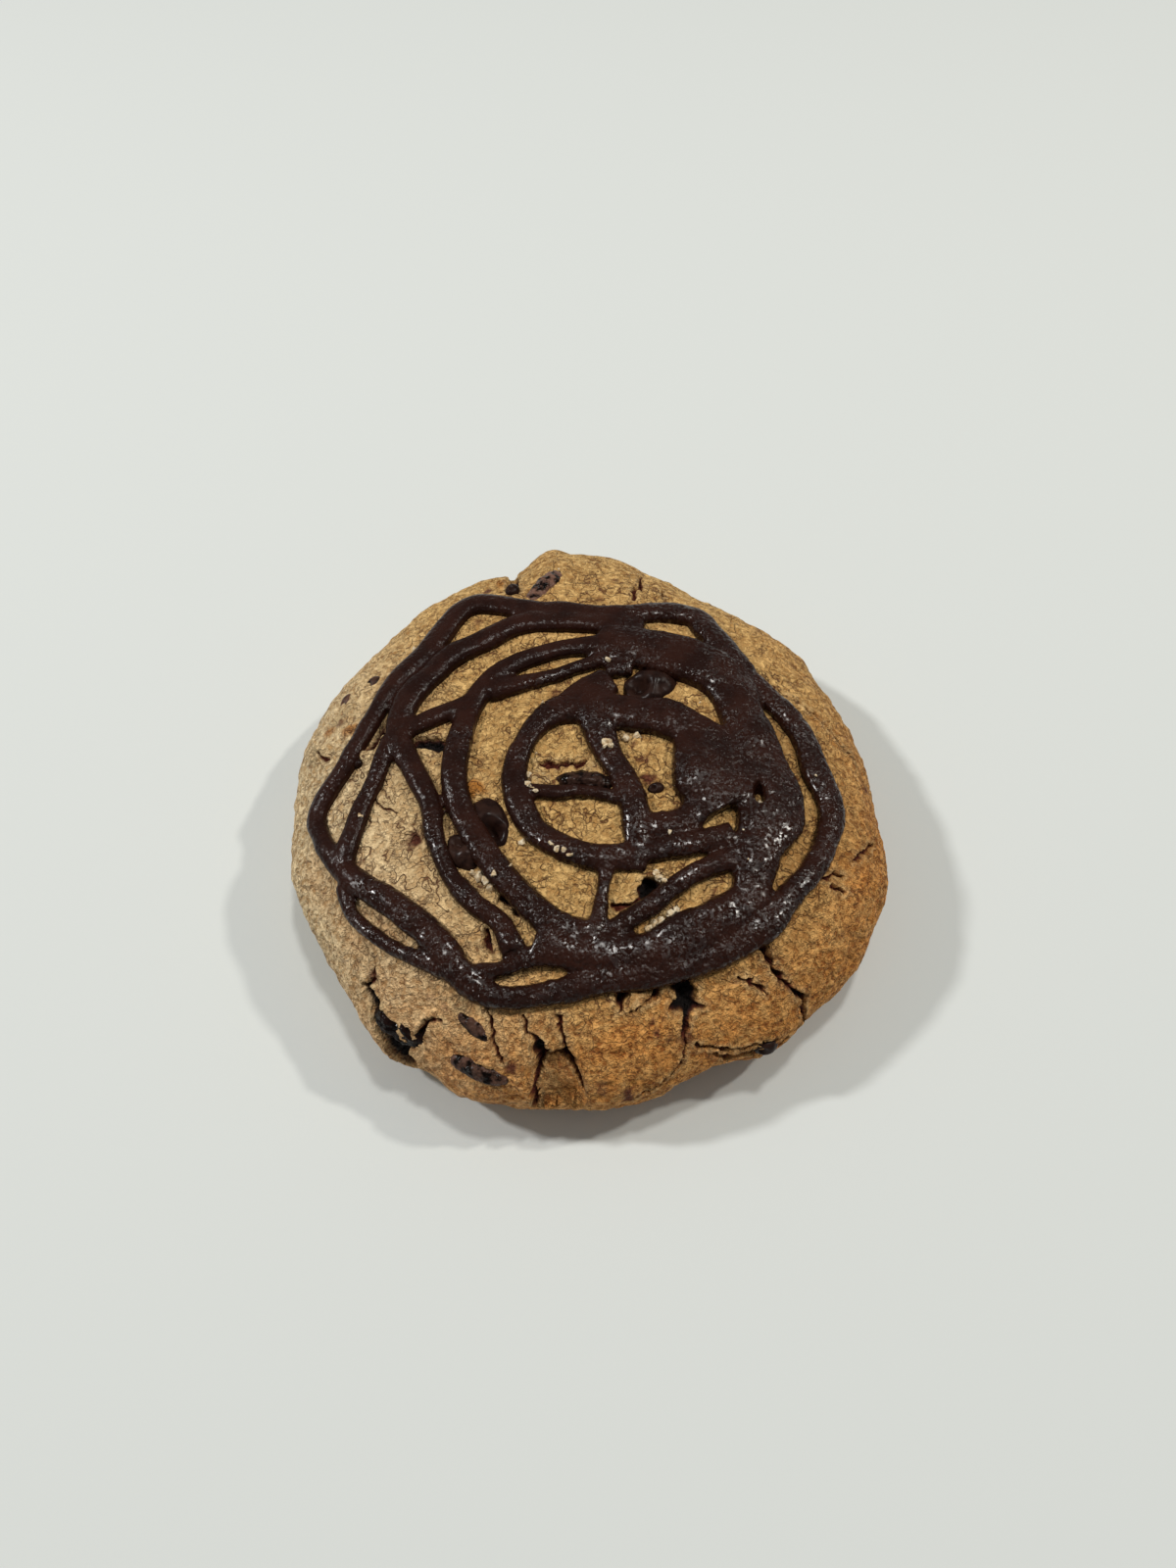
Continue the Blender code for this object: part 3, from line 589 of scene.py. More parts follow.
def flatSheet():
    # An even disc of four-sided faces: rings round a square grid, then the skirt's rings.
    rings = dough["rings"]
    steps = np.arange(-rings, rings + 1)
    i, j = np.meshgrid(steps, steps, indexing="ij")
    ring = np.maximum(np.abs(i), np.abs(j))
    wide = np.abs(i) >= np.abs(j)
    turn = np.where(wide, math.pi / 4 * j / np.where(wide & (i != 0), i, 1) + math.pi * (i < 0),
                    math.pi / 2 - math.pi / 4 * i / np.where(wide, 1, j) + math.pi * (j < 0))
    share = ring / rings
    flat = np.stack([share * np.cos(turn), share * np.sin(turn)], axis=2).reshape(-1, 2)
    width = 2 * rings + 1
    index = np.arange(width * width).reshape(width, width)
    faces = np.stack([index[:-1, :-1], index[1:, :-1], index[1:, 1:], index[:-1, 1:]], axis=2).reshape(-1, 4)
    edge = np.concatenate([index[:-1, 0], index[-1, :-1], index[1:, -1][::-1], index[0, 1:][::-1]])
    flats = [flat]
    allFaces = [faces]
    total = width * width
    last = edge
    for step in range(1, dough["skirtRings"] + 1):
        reach = 1.0 + 0.5 * step / dough["skirtRings"]
        following = total + np.arange(len(edge))
        total += len(edge)
        flats.append(flat[edge] * reach)
        allFaces.append(np.stack([last, following, np.roll(following, -1), np.roll(last, -1)], axis=1))
        last = following
    return np.concatenate(flats) * dough["sheetRadius"], np.concatenate(allFaces)


def refineNear(flat, faces, distances):
    # Splits the faces close to a crack, so that a thin crack is cut sharply.
    mesh = bpy.data.meshes.new("sheet")
    mesh.from_pydata(np.column_stack([flat, np.zeros(len(flat))]).tolist(), [], faces.tolist())
    bm = bmesh.new()
    bm.from_mesh(mesh)
    bpy.data.meshes.remove(mesh)
    for distance in distances:
        spots = np.array([vertex.co.xy[:] for vertex in bm.verts])
        near = crackField(spots)[3]
        bm.verts.ensure_lookup_table()
        close = near < distance
        edges = [edge for edge in bm.edges if close[edge.verts[0].index] and close[edge.verts[1].index]]
        bmesh.ops.subdivide_edges(bm, edges=edges, cuts=1, use_grid_fill=True)
        bm.verts.index_update()
    return bm


def rimNoise(points, share):
    # Granular relief with wrinkles, coarser and deeper towards the rim than under the drizzle.
    rough = 0.6 + 0.7 * smoothStep(share, 0.5, 0.85)
    total = sum(depth * softNoise(points, size, seed) for size, depth, seed in dough["grains"])
    total -= 0.24 * smoothStep(softNoise(points, 1.4, 11), 0.45, 0.8)
    total -= 0.15 * (1.0 - np.abs(softNoise(points, 1.9, 13))) ** 7
    return total * rough - 0.22 * smoothStep(share, 0.55, 0.9)


def doughLayers(plain, angle, share, depth, broken):
    # Where the crust is toasted, rough or stained, and how far it is paler on the left side (partly its own tone,
    # partly painted light), for its material.
    side = np.cos(angle - math.radians(dough["toastedAt"])) * 0.5 + 0.5
    toast = smoothStep(side, 0.42, 0.92) * smoothStep(share, 0.35, 0.85)
    toast += 0.35 * smoothStep(softNoise(plain, 9.0, 23), 0.1, 0.7) * smoothStep(share, 0.3, 0.8)
    above = share < 1.0
    return {
        # Painted shade, darker the deeper a crack is cut.
        "deep": smoothStep(depth, 0.55, 1.5),
        "granular": smoothStep(share, 0.5, 0.72),
        # Paler towards the left: partly the crust's own paler tone, partly painted light as if lit from the left.
        "paleAndLitLeft": smoothStep(-plain[:, 0] - 0.35 * plain[:, 1], 12.0, 40.0),
        "toast": np.clip(toast, 0.0, 1.0),
        "stain": markField(plain, "stain") * above,
        "orange": markField(plain, "orange") * above,
        "broken": broken,
    }


def makeDough():
    flat, faces = flatSheet()
    bm = refineNear(flat, faces, dough["finerNear"])
    spots = np.array([vertex.co.xy[:] for vertex in bm.verts])
    angle = np.arctan2(spots[:, 1], spots[:, 0])
    share = np.hypot(spots[:, 0], spots[:, 1]) / dough["sheetRadius"]
    plain, out, fade = plainDough(angle, share)
    depth, mask, lip = crackField(spots)[:3]
    broken = markField(plain, "broken") * (share < 1.0)
    pit = markField(plain, "pit") * (share < 1.0)
    rise = lumpsAt(plain) + rimNoise(plain, share)
    rise += 0.16 * lip - depth - pit + markField(plain, "raise")
    rise += broken * (0.35 * softNoise(plain, 1.2, 17) + 0.22 * softNoise(plain, 0.6, 19) - 0.15)
    points = plain + out * (rise * fade)[:, None]
    points[share >= 1.499, 2] = 0.0  # the base's edge
    points[:, 2] = np.maximum(points[:, 2], 0.0)
    points += middle
    for vertex, place in zip(bm.verts, (points * mm).tolist()):
        vertex.co = place
    rim = [edge for edge in bm.edges if edge.is_boundary]
    bmesh.ops.holes_fill(bm, edges=rim, sides=0)
    bmesh.ops.recalc_face_normals(bm, faces=bm.faces[:])
    mesh = meshFrom(bm, "dough")
    for name, values in doughLayers(plain, angle, share, depth, broken).items():
        addLayer(mesh, name, values)
    addLayer(mesh, "crack", mask)
    # The lip layer gives the material a painted highlight along the crack edges.
    addLayer(mesh, "lip", lip)
    return addPiece("dough", mesh, crustFinish)


doughPiece = makeDough()
print("dough shaped:", len(doughPiece.data.polygons), "faces")


# The drizzle: x, y and width in mm along each rope
drizzle = {
    "step": 0.7,
    "sides": 16,
    "rise": 0.45,
    "fullest": 2.3,
    "deepest": 0.9,
    "voxel": 0.33,
    "softenings": 5,
}
outerLoop = (
    (-38.3, -10.0, 3.0), (-37.1, -6.0, 3.2), (-34.4, -1.8, 3.1), (-32.4, 2.7, 2.9),
    (-30.2, 7.6, 3.1), (-27.5, 13.0, 3.4), (-23.5, 19.0, 4.0), (-21.2, 23.0, 4.0),
    (-18.8, 25.9, 3.9), (-15.8, 26.6, 3.9), (-10.5, 25.1, 3.7), (-4.0, 24.6, 3.8),
    (5.0, 24.2, 3.8), (12.5, 24.6, 4.1), (16.2, 23.8, 4.4), (17.9, 21.0, 4.5),
    (20.2, 17.2, 4.2), (23.9, 11.8, 4.0), (29.0, 5.4, 3.9), (31.5, 0.9, 4.1),
    (32.5, -4.4, 4.4), (33.6, -9.0, 3.9), (33.4, -12.6, 3.6), (31.0, -17.9, 3.4),
    (27.4, -22.3, 3.6), (22.7, -27.5, 4.2), (16.0, -31.8, 4.3), (8.4, -34.0, 4.6),
    (2.0, -35.1, 4.3), (-3.5, -36.6, 3.3), (-8.7, -37.4, 3.0), (-12.8, -37.0, 3.3),
    (-16.2, -34.7, 3.9), (-19.2, -30.8, 4.2), (-23.9, -25.8, 3.8), (-28.8, -22.1, 3.7),
    (-33.0, -18.6, 3.5), (-36.4, -14.2, 2.9),
)
ropes = {
    "second loop": (
        (6.0, 21.8, 4.0), (-1.0, 22.2, 3.8), (-6.0, 22.2, 4.0), (-10.0, 21.6, 4.0),
        (-14.0, 19.7, 3.8), (-18.0, 17.4, 4.0), (-21.6, 14.9, 4.1), (-25.4, 9.2, 4.1),
        (-27.1, 4.4, 4.0), (-26.9, 0.2, 3.8), (-23.8, -6.0, 3.5), (-21.7, -11.0, 3.0),
        (-20.7, -16.3, 2.8), (-18.6, -21.2, 2.7), (-15.2, -25.3, 2.9), (-11.5, -28.2, 2.9),
        (-9.6, -31.8, 3.4),
    ),
    "third loop": (
        (4.0, 17.4, 4.2), (-2.0, 17.0, 3.2), (-8.0, 15.2, 3.2), (-13.0, 12.4, 3.4),
        (-16.6, 8.2, 3.5), (-18.1, 3.0, 3.6), (-18.7, -5.0, 4.0), (-17.7, -11.0, 3.7),
        (-14.9, -16.7, 4.0), (-10.8, -22.4, 4.0), (-7.1, -26.3, 4.0), (-4.0, -28.6, 4.4),
        (0.5, -30.2, 4.6),
    ),
    "top inner arc": (
        (-14.5, 9.0, 3.4), (-10.0, 10.0, 3.0), (-5.0, 11.6, 2.4), (-1.0, 13.2, 2.3), (3.5, 15.3, 2.8),
    ),
    "dip": ((2.4, 12.4, 3.2), (6.2, 13.6, 3.2)),
    "top join": ((2.0, 22.2, 4.0), (5.4, 21.8, 3.8), (8.4, 21.2, 2.8)),
    "left link": ((-26.0, 2.2, 2.8), (-22.0, 4.4, 3.2), (-18.0, 6.9, 3.2)),
    "left inner side": (
        (-28.4, 1.0, 2.6), (-29.5, -3.6, 2.8), (-31.7, -9.6, 3.0), (-32.6, -15.2, 3.2), (-33.1, -18.5, 3.1),
    ),
    "front left thread": (
        (-33.0, -20.8, 2.2), (-30.9, -25.1, 2.1), (-27.3, -28.5, 2.2), (-22.6, -31.8, 2.1), (-18.5, -33.8, 2.4),
    ),
    "front thread": ((-16.5, -34.4, 2.4), (-11.0, -33.9, 2.2), (-6.0, -32.2, 3.0), (-1.0, -33.0, 3.4)),
    "inner ring": (
        (3.0, 4.4, 5.0), (-3.0, 5.0, 5.2), (-6.2, 3.3, 4.2), (-8.9, -0.8, 3.3),
        (-10.3, -6.2, 3.8), (-9.2, -11.4, 3.8), (-6.4, -15.9, 3.8), (0.0, -19.0, 3.8),
        (6.0, -18.6, 3.5), (13.0, -17.1, 3.5), (19.0, -15.4, 3.8),
    ),
    "ring crown": ((-3.6, 5.2, 4.4), (-0.1, 7.9, 5.6), (3.0, 10.4, 4.6)),
    "ring top": ((-1.0, 5.4, 6.0), (7.0, 3.9, 6.0), (11.0, 3.2, 6.6), (14.2, 1.2, 6.2), (18.5, -1.4, 6.0)),
    "middle pillar": (
        (0.5, 9.0, 5.6), (0.9, 4.0, 5.6), (1.9, -0.6, 4.6), (3.2, -3.8, 3.8),
        (4.6, -6.6, 4.0), (5.9, -10.4, 4.2), (6.5, -14.5, 4.2), (6.8, -17.6, 3.8),
    ),
    "middle arc": ((6.5, -14.6, 3.8), (12.6, -13.6, 4.2), (15.8, -10.4, 4.4)),
    "wide band": (
        (1.5, 19.4, 4.4), (6.0, 17.4, 7.0), (14.0, 14.8, 8.2), (19.8, 10.4, 7.6),
        (22.2, 3.2, 7.2), (23.2, -4.5, 9.8), (24.5, -11.5, 10.4), (22.4, -17.6, 6.8),
        (21.0, -24.0, 5.0),
    ),
    "wide pool": ((14.4, 0.6, 5.8), (15.6, -3.5, 9.2), (16.4, -7.0, 10.2), (18.9, -11.4, 9.4)),
    "front band": (
        (-7.0, -30.6, 3.4), (0.0, -31.8, 5.2), (7.0, -31.7, 5.0), (12.5, -29.2, 6.0),
        (17.3, -26.8, 5.6), (22.3, -23.2, 5.0),
    ),
    "lower link": ((3.0, -29.4, 3.0), (9.4, -24.5, 2.9), (13.7, -21.2, 3.0), (19.5, -18.4, 3.2)),
    "ring foot": ((3.0, -20.0, 2.2), (7.6, -20.4, 1.8)),
    "short link": ((2.3, -20.5, 2.4), (1.8, -24.0, 1.8), (1.2, -27.0, 2.4), (1.0, -29.5, 3.0)),
    "crumb thread": ((-8.6, -8.8, 2.2), (-4.4, -9.3, 2.3), (-1.0, -9.0, 1.9), (4.5, -10.4, 2.2)),
}
# Small holes in the drizzle: x, y, half width, half length and depth in mm
holes = ((23.3, -9.4, 0.8, 1.7, 2.6),)


def ropePath(points, closed):
    # A smooth curve through a rope's points, with a station every step.
    points = np.array(points, float)
    count = len(points)
    stations = []
    for index in range(count if closed else count - 1):
        order = [index - 1, index, index + 1, index + 2]
        order = [place % count if closed else min(max(place, 0), count - 1) for place in order]
        a, b, c, d = points[order]
        steps = max(1, round(np.linalg.norm((c - b)[:2]) / drizzle["step"]))
        t = (np.arange(steps) / steps)[:, None]
        stations.append(0.5 * (2 * b + (c - a) * t + (2 * a - 5 * b + 4 * c - d) * t ** 2
                               + (3 * b - a - 3 * c + d) * t ** 3))
    if not closed:
        stations.append(points[-1:])
    return np.concatenate(stations)


def startTree(name, sockets, result):
    # A geometry tree with the given kinds of input. Its result is a geometry.
    tree = bpy.data.node_groups.new(name, "GeometryNodeTree")
    for socketName, kind in sockets.items():
        tree.interface.new_socket(name=socketName, in_out="INPUT", socket_type=kind)
    tree.interface.new_socket(name=result, in_out="OUTPUT", socket_type="NodeSocketGeometry")
    return tree, tree.nodes.new("NodeGroupInput").outputs, tree.nodes.new("NodeGroupOutput").inputs[result]


def makeRopeTree():
    # Sweeps a round section, as wide as each point's halfWidth, along every path.
    tree, given, leave = startTree("rope", {
        "Paths": "NodeSocketGeometry", "Sides": "NodeSocketInt", "Finish": "NodeSocketMaterial"}, "Ropes")
    paths = addNode(tree, "GeometryNodeMeshToCurve", {"Mesh": given["Paths"]})
    width = addNode(tree, "GeometryNodeInputNamedAttribute", {"Name": "halfWidth"}, data_type="FLOAT")
    section = addNode(tree, "GeometryNodeCurvePrimitiveCircle", {"Resolution": given["Sides"], "Radius": 1.0})
    swept = addNode(tree, "GeometryNodeCurveToMesh", {
        "Curve": paths.outputs["Curve"], "Profile Curve": section.outputs["Curve"],
        "Scale": width.outputs["Attribute"], "Fill Caps": True})
    real = addNode(tree, "GeometryNodeRealizeInstances", {"Geometry": swept.outputs["Mesh"]})
    done = addNode(tree, "GeometryNodeSetMaterial", {
        "Geometry": real.outputs["Geometry"], "Material": given["Finish"]})
    plug(tree, leave, done.outputs["Geometry"])
    return tree


def runTree(mesh, tree, values):
    # Puts the tree on a mesh, reads the result as a plain mesh and removes the helper.
    helper = bpy.data.objects.new("helper", mesh)
    bpy.context.scene.collection.objects.link(helper)
    modifier = helper.modifiers.new("tree", "NODES")
    modifier.node_group = tree
    for item in tree.interface.items_tree:
        if item.in_out == "INPUT" and item.name in values:
            modifier[item.identifier] = values[item.name]
    graph = bpy.context.evaluated_depsgraph_get()
    result = bpy.data.meshes.new_from_object(helper.evaluated_get(graph))
    helper.modifiers.clear()
    bpy.data.objects.remove(helper)
    return result


def settle(points):
    # Presses wide ropes down: heights above the dough are limited softly.
    angle, share = onTop(points[:, 0], points[:, 1])
    under = doughSurface(angle, share)[:, 2]
    normal = doughNormal(angle, share)
    upright = np.clip(normal[:, 2], 0.4, 1.0)
    height = (points[:, 2] - under) * upright
    full = drizzle["fullest"] + 0.35 * softNoise(points, 6.0, 59)
    pressed = np.where(height > 0, full * np.tanh(height / full), np.maximum(height, -drizzle["deepest"]))
    points = points.copy()
    points[:, 2] += (pressed - height) / upright
    return points


def meshPoints(mesh):
    values = np.empty(len(mesh.vertices) * 3, dtype=np.float32)
    mesh.vertices.foreach_get("co", values)
    return values.reshape(-1, 3).astype(float)


def setPoints(mesh, points):
    mesh.vertices.foreach_set("co", points.astype(np.float32).ravel())
    mesh.update()


def applyAll(piece):
    graph = bpy.context.evaluated_depsgraph_get()
    mesh = bpy.data.meshes.new_from_object(piece.evaluated_get(graph))
    piece.modifiers.clear()
    piece.data = mesh
    return mesh


def makeDrizzle():
    verts = []
    edges = []
    widths = []
    for points, closed in [(outerLoop, True)] + [(points, False) for points in ropes.values()]:
        path = ropePath(points, closed)
        angle, share = onTop(path[:, 0], path[:, 1])
        normal = doughNormal(angle, share)
        centre = doughSurface(angle, share) + normal * drizzle["rise"]
        first = len(verts)
        count = len(centre)
        verts += (centre * mm).tolist()
        widths += (path[:, 2] / 2 * (1.0 + 0.07 * softNoise(centre, 4.0, 61)) * mm).tolist()
        edges += [(first + step, first + step + 1) for step in range(count - 1)]
        if closed:
            edges.append((first + count - 1, first))
    paths = bpy.data.meshes.new("rope paths")
    paths.from_pydata(verts, edges, [])
    addLayer(paths, "halfWidth", widths)
    mesh = runTree(paths, makeRopeTree(), {"Sides": drizzle["sides"], "Finish": chocolateFinish})
    setPoints(mesh, settle(meshPoints(mesh) / mm) * mm)
    piece = addPiece("drizzle", mesh, chocolateFinish)
    remesh = piece.modifiers.new("fuse", "REMESH")
    remesh.mode = "VOXEL"
    remesh.voxel_size = drizzle["voxel"] * mm
    soften = piece.modifiers.new("soften", "SMOOTH")
    soften.factor = 0.5
    soften.iterations = drizzle["softenings"]
    mesh = applyAll(piece)
    points = meshPoints(mesh) / mm
    normals = np.empty(len(mesh.vertices) * 3, dtype=np.float32)
    mesh.vertices.foreach_get("normal", normals)
    normals = normals.reshape(-1, 3)
    rough = smoothStep(softNoise(points, 7.0, 73) + (points[:, 0] - points[:, 1]) / 40.0, -0.9, 0.5)
    swell = 0.10 * softNoise(points, 2.2, 67) + rough * 0.09 * softNoise(points, 1.0, 71)
    swell += rough * 0.06 * softNoise(points, 0.7, 75)
    points = points + normals * swell[:, None]
    for x, y, wide, long, deep in holes:
        apart = np.hypot((points[:, 0] - x) / wide, (points[:, 1] - y) / long)
        points[:, 2] -= deep * smoothStep(apart, 1.25, 0.45)
    setPoints(mesh, (points + middle) * mm)
    addLayer(mesh, "rough", rough)
    mesh.shade_smooth()
    if chocolateFinish.name not in mesh.materials:
        mesh.materials.append(chocolateFinish)
    return piece


drizzlePiece = makeDrizzle()
print("drizzle laid:", len(drizzlePiece.data.polygons), "faces")


# Chips and fruit: x, y, length, width and rise in mm, degrees of the length, wrinkle depth in mm
# and how dusty each is
chips = {
    "by the ring": (9.0, 10.2, 9.0, 7.0, 1.7, 24, 0.0, 0.0),
    "on the left": (-13.8, -13.2, 9.2, 6.6, 1.4, 108, 0.0, 0.0),
    "under the loops": (-17.1, -17.8, 6.4, 3.8, 1.5, -55, 0.0, 0.1),
    "in the notch": (-12.2, 31.4, 2.8, 2.2, 1.0, 60, 0.0, 0.0),
    "on the left rim": (-32.4, 13.3, 3.4, 2.3, 0.45, 45, 0.1, 0.3),
    "further out": (-36.5, 11.0, 3.4, 2.2, 0.3, 60, 0.1, 0.6),
    "in the left pocket": (-33.1, -2.0, 1.7, 1.5, 0.9, 0, 0.0, 0.0),
    "at the front lip": (23.4, -40.7, 3.6, 2.6, 0.5, 20, 0.1, 0.0),
    "in the ring": (9.2, -8.3, 2.4, 1.8, 0.8, 20, 0.0, 0.0),
}
fruit = {
    "in the middle": (-0.4, -7.2, 8.6, 3.4, 1.2, -6, 0.35, 0.15),
    "at the back": (-7.2, 32.4, 10.2, 4.2, 0.9, 58, 0.3, 1.0),
    "at the front": (-14.2, -45.4, 8.4, 2.9, 0.45, -29, 0.3, 0.5),
    "nearer the rope": (-14.7, -40.6, 5.6, 2.0, 0.35, -42, 0.25, 0.4),
    "in the crack": (-24.3, -40.2, 9.8, 4.6, 0.1, -38, 0.3, 0.0),
}


def makeLumps(name, items, finish, dent):
    # Rounded lumps set into the dough, each with a dent near its left end or with wrinkles.
    bm = bmesh.new()
    bloom = bm.verts.layers.float.new("bloom")
    for x, y, length, width, rise, degrees, wrinkle, dusty in items.values():
        angle, share = onTop([x], [y])
        normal = doughNormal(angle, share)[0]
        base = doughSurface(angle, share)[0]
        along = np.array([math.cos(math.radians(degrees)), math.sin(math.radians(degrees)), 0.0])
        along = along - normal * (along @ normal)
        along = along / np.linalg.norm(along)
        across = np.cross(normal, along)
        made = bmesh.ops.create_icosphere(bm, subdivisions=5, radius=0.5)["verts"]
        ball = np.array([vertex.co[:] for vertex in made])
        near = (ball[:, 0] + 0.2) ** 2 + (0.7 * ball[:, 1]) ** 2
        size = np.array([length, width, width])
        grown = ball * size
        grown[:, 2] -= dent * width * np.exp(-near / 0.022) * (ball[:, 2] > 0)
        centre = base + normal * (rise - width / 2)
        placed = centre + grown[:, :1] * along + grown[:, 1:2] * across + grown[:, 2:] * normal
        lump = 0.06 * width * softNoise(placed, 1.8, 81)
        ridges = np.abs(softNoise(placed, 1.1, 83)) + 0.5 * np.abs(softNoise(placed, 0.55, 85))
        way = (placed - centre) / np.linalg.norm(placed - centre, axis=1)[:, None]
        placed = placed + way * (lump - wrinkle * (0.6 - ridges))[:, None]
        for vertex, place in zip(made, ((placed + middle) * mm).tolist()):
            vertex.co = place
            vertex[bloom] = dusty
    return addPiece(name, meshFrom(bm, name), finish)


chipPiece = makeLumps("chips", chips, chipFinish, 0.34)
fruitPiece = makeLumps("fruit", fruit, fruitFinish, 0.0)
print("chips and fruit set in")


# Loose pale crumbs: x, y and size in mm, then how many more are strewn at random
crumbs = {
    "placed": ((2.3, -1.7, 1.0), (3.0, -2.2, 0.9), (2.2, -2.5, 0.7), (2.9, 13.4, 0.6), (-26.4, 18.0, 0.8),
               (-14.7, -21.2, 1.3), (-13.6, -22.0, 1.2), (-12.9, -22.9, 1.1), (-15.4, -20.7, 0.9),
               (-12.5, -22.0, 0.8), (-9.0, -16.6, 0.8), (-7.9, -9.0, 0.6), (-7.2, -9.7, 0.6), (-8.5, -8.2, 0.5),
               (-4.9, -18.0, 0.5), (-4.2, -18.7, 0.6), (-3.4, -18.9, 0.5), (-2.6, -19.5, 0.5), (9.3, -22.0, 1.0),
               (10.0, -22.7, 0.8), (8.8, -21.3, 0.7), (9.4, -27.5, 1.1), (8.6, -28.0, 1.0), (10.5, -26.7, 1.2),
               (11.4, -26.2, 0.9), (7.7, -28.7, 0.8), (23.4, -10.7, 0.8), (6.8, 0.6, 0.9), (5.2, 0.2, 1.2),
               (-8.4, -6.4, 0.8), (-31.4, -11.6, 0.6)),
    "strewn": 12,
    "reach": 36.0,
    "smallest": 0.2,
    "largest": 0.42,
    "roughness": 1.5,
    "seed": 5,
}


def makeCrumbTree():
    # Puts a turned ball on each point, as wide as its size, and roughens it.
    tree, given, leave = startTree("crumbs", {
        "Places": "NodeSocketGeometry", "Roughness": "NodeSocketFloat", "Seed": "NodeSocketInt",
        "Finish": "NodeSocketMaterial"}, "Crumbs")
    ball = addNode(tree, "GeometryNodeMeshIcoSphere", {"Radius": 0.5, "Subdivisions": 2})
    size = addNode(tree, "GeometryNodeInputNamedAttribute", {"Name": "size"}, data_type="FLOAT")
    turn = addNode(tree, "FunctionNodeRandomValue", {"Seed": given["Seed"]}, data_type="FLOAT_VECTOR")
    turn.inputs[1].default_value = (6.28, 6.28, 6.28)
    strewn = addNode(tree, "GeometryNodeInstanceOnPoints", {
        "Points": given["Places"], "Instance": ball.outputs["Mesh"],
        "Rotation": turn.outputs[0], "Scale": size.outputs["Attribute"]})
    real = addNode(tree, "GeometryNodeRealizeInstances", {"Geometry": strewn.outputs["Instances"]})
    position = addNode(tree, "GeometryNodeInputPosition")
    cloud = addNode(tree, "ShaderNodeTexNoise", {
        "Vector": position.outputs["Position"], "Scale": 1600.0, "Detail": 2.0})
    shift = mixVectors(tree, "SUBTRACT", cloud.outputs["Color"], (0.5, 0.5, 0.5))
    grown = addNode(tree, "ShaderNodeVectorMath", {"Scale": given["Roughness"]}, operation="SCALE")
    plug(tree, grown.inputs[0], shift.outputs[0])
    moved = addNode(tree, "GeometryNodeSetPosition", {
        "Geometry": real.outputs["Geometry"], "Offset": grown.outputs[0]})
    done = addNode(tree, "GeometryNodeSetMaterial", {
        "Geometry": moved.outputs["Geometry"], "Material": given["Finish"]})
    plug(tree, leave, done.outputs["Geometry"])
    return tree


def makeCrumbs():
    draws = np.random.default_rng(crumbs["seed"])
    reach = crumbs["reach"] * np.sqrt(draws.uniform(0.0, 1.0, crumbs["strewn"]))
    turn = draws.uniform(0.0, 2 * math.pi, crumbs["strewn"])
    across = draws.uniform(crumbs["smallest"], crumbs["largest"], crumbs["strewn"])
    strewn = np.column_stack([reach * np.cos(turn), reach * np.sin(turn), across])
    spots = np.concatenate([np.array(crumbs["placed"]), strewn])
    top = surfaceHeight(spots[:, 0], spots[:, 1])
    places = np.column_stack([spots[:, :2] + middle[:2], top + spots[:, 2] * 0.2]) * mm
    mesh = bpy.data.meshes.new("crumb places")
    mesh.from_pydata(places.tolist(), [], [])
    addLayer(mesh, "size", spots[:, 2] * mm)
    made = runTree(mesh, makeCrumbTree(), {
        "Roughness": crumbs["roughness"] * mm, "Seed": crumbs["seed"], "Finish": crumbFinish})
    return addPiece("crumbs", made, crumbFinish)


def surfaceHeight(x, y):
    # Height in mm of whatever lies on top at each x, y, found by looking down.
    bpy.context.view_layer.update()
    graph = bpy.context.evaluated_depsgraph_get()
    heights = []
    for spotX, spotY in zip(x, y):
        above = Vector(((spotX + middle[0]) * mm, (spotY + middle[1]) * mm, 0.1))
        best = 0.0
        for piece in (doughPiece, drizzlePiece, chipPiece, fruitPiece):
            hit, place = piece.evaluated_get(graph).ray_cast(above, Vector((0, 0, -1)))[:2]
            if hit:
                best = max(best, place.z / mm)
        heights.append(best)
    return np.array(heights)


crumbPiece = makeCrumbs()
print("crumbs strewn")

for shownPiece, slotName in (
        (doughPiece, "baked_dough"), (drizzlePiece, "dark_chocolate"), (chipPiece, "dark_chocolate"),
        (fruitPiece, "dried_fruit"), (crumbPiece, "pale_crumb")):
    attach(shownPiece, "root")
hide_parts("cookie")


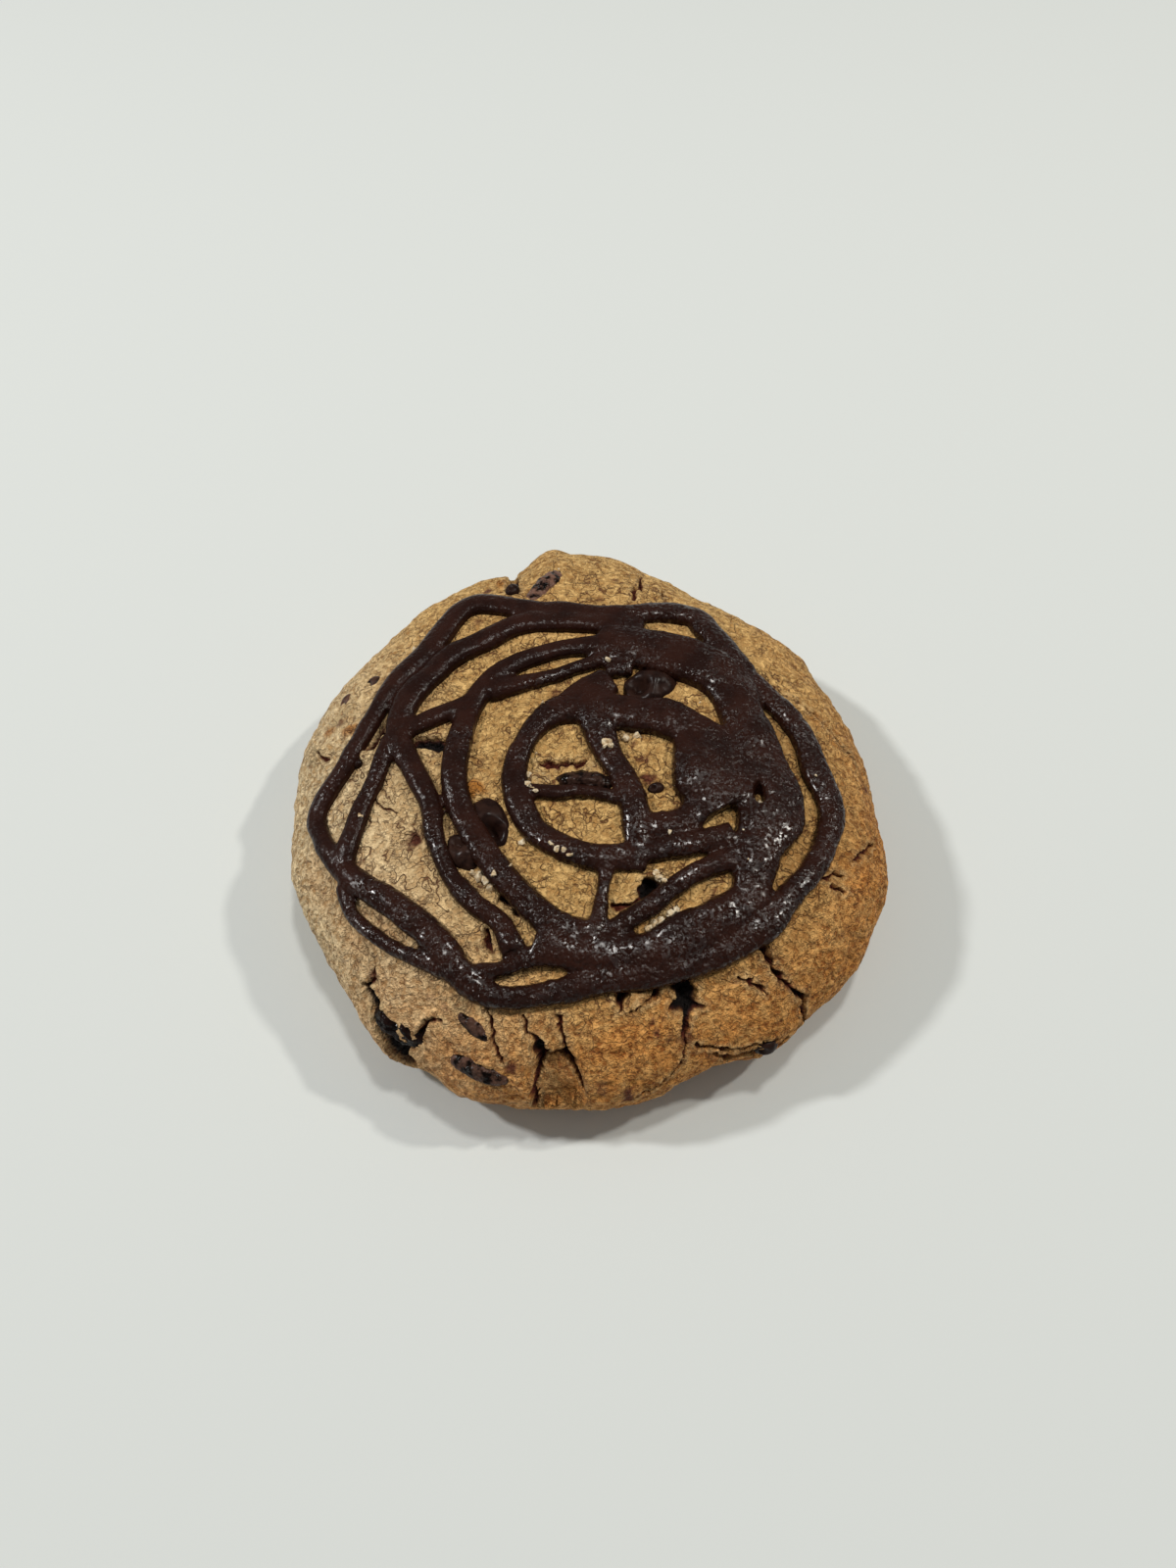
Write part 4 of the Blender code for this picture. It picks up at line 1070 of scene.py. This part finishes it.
# Floor, light and camera
studio = {
    "floor": (222, 226, 224),
    "floorSize": 3.0,
    "floorDrop": 0.02,  # mm under the base, so that the two faces don't coincide
    "sky": 0.208,
    "lights": {
        "right light": ((0.64, 0.20, 0.80), 0.06, 3.05, (1.0, 0.96, 0.885)),
        "left light": ((-0.72, 0.14, 0.72), 0.085, 4.45, (0.995, 0.985, 0.97)),
        "upper light": ((0.12, 0.16, 0.98), 0.10, 2.6, (1.0, 0.98, 0.94)),
    },
}
view = {
    "place": (-0.1445, -96.068, 159.232),  # mm from the dough's own middle
    "tilt": 33.0,
    "focalLength": 1202,  # this and the height are in the photo's pixels
    "photoHeight": 1600,
    "sensor": 36.0,
}


def makeFloor():
    bm = bmesh.new()
    bmesh.ops.create_grid(bm, x_segments=2, y_segments=2, size=studio["floorSize"] / 2)
    material = bpy.data.materials.new("pale floor")
    material.use_nodes = True
    shader = material.node_tree.nodes["Principled BSDF"]
    shader.inputs["Base Color"].default_value = tone(*studio["floor"])
    shader.inputs["Roughness"].default_value = 0.9
    shader.inputs["Specular IOR Level"].default_value = 0.1
    floor = addPiece("floor", meshFrom(bm, "floor"), material)
    floor.location.z = -studio["floorDrop"] * mm


def makeLights():
    for name, (place, size, power, colour) in studio["lights"].items():
        data = bpy.data.lights.new(name, "AREA")
        data.shape = "DISK"
        data.size = size
        data.energy = power
        data.color = colour
        lamp = bpy.data.objects.new(name, data)
        lamp.location = place
        lamp.rotation_euler = (-Vector(place)).to_track_quat("-Z", "Y").to_euler()
        bpy.context.scene.collection.objects.link(lamp)
    world = bpy.data.worlds.new("soft room")
    world.use_nodes = True
    sky = world.node_tree.nodes["Background"]
    sky.inputs["Color"].default_value = (0.98, 1.0, 0.985, 1.0)
    sky.inputs["Strength"].default_value = studio["sky"]
    bpy.context.scene.world = world
    bpy.context.scene.view_settings.view_transform = "Standard"


def makeCamera():
    data = bpy.data.cameras.new("camera")
    data.lens = view["focalLength"] / view["photoHeight"] * view["sensor"]
    data.sensor_width = view["sensor"]
    data.clip_start = 0.005
    camera = bpy.data.objects.new("camera", data)
    camera.location = Vector(view["place"]) * mm + Vector(middle) * mm
    camera.rotation_euler = (math.radians(view["tilt"]), 0.0, 0.0)
    bpy.context.scene.collection.objects.link(camera)
    bpy.context.scene.camera = camera


makeFloor()
makeLights()
makeCamera()
print("floor, light and camera set")
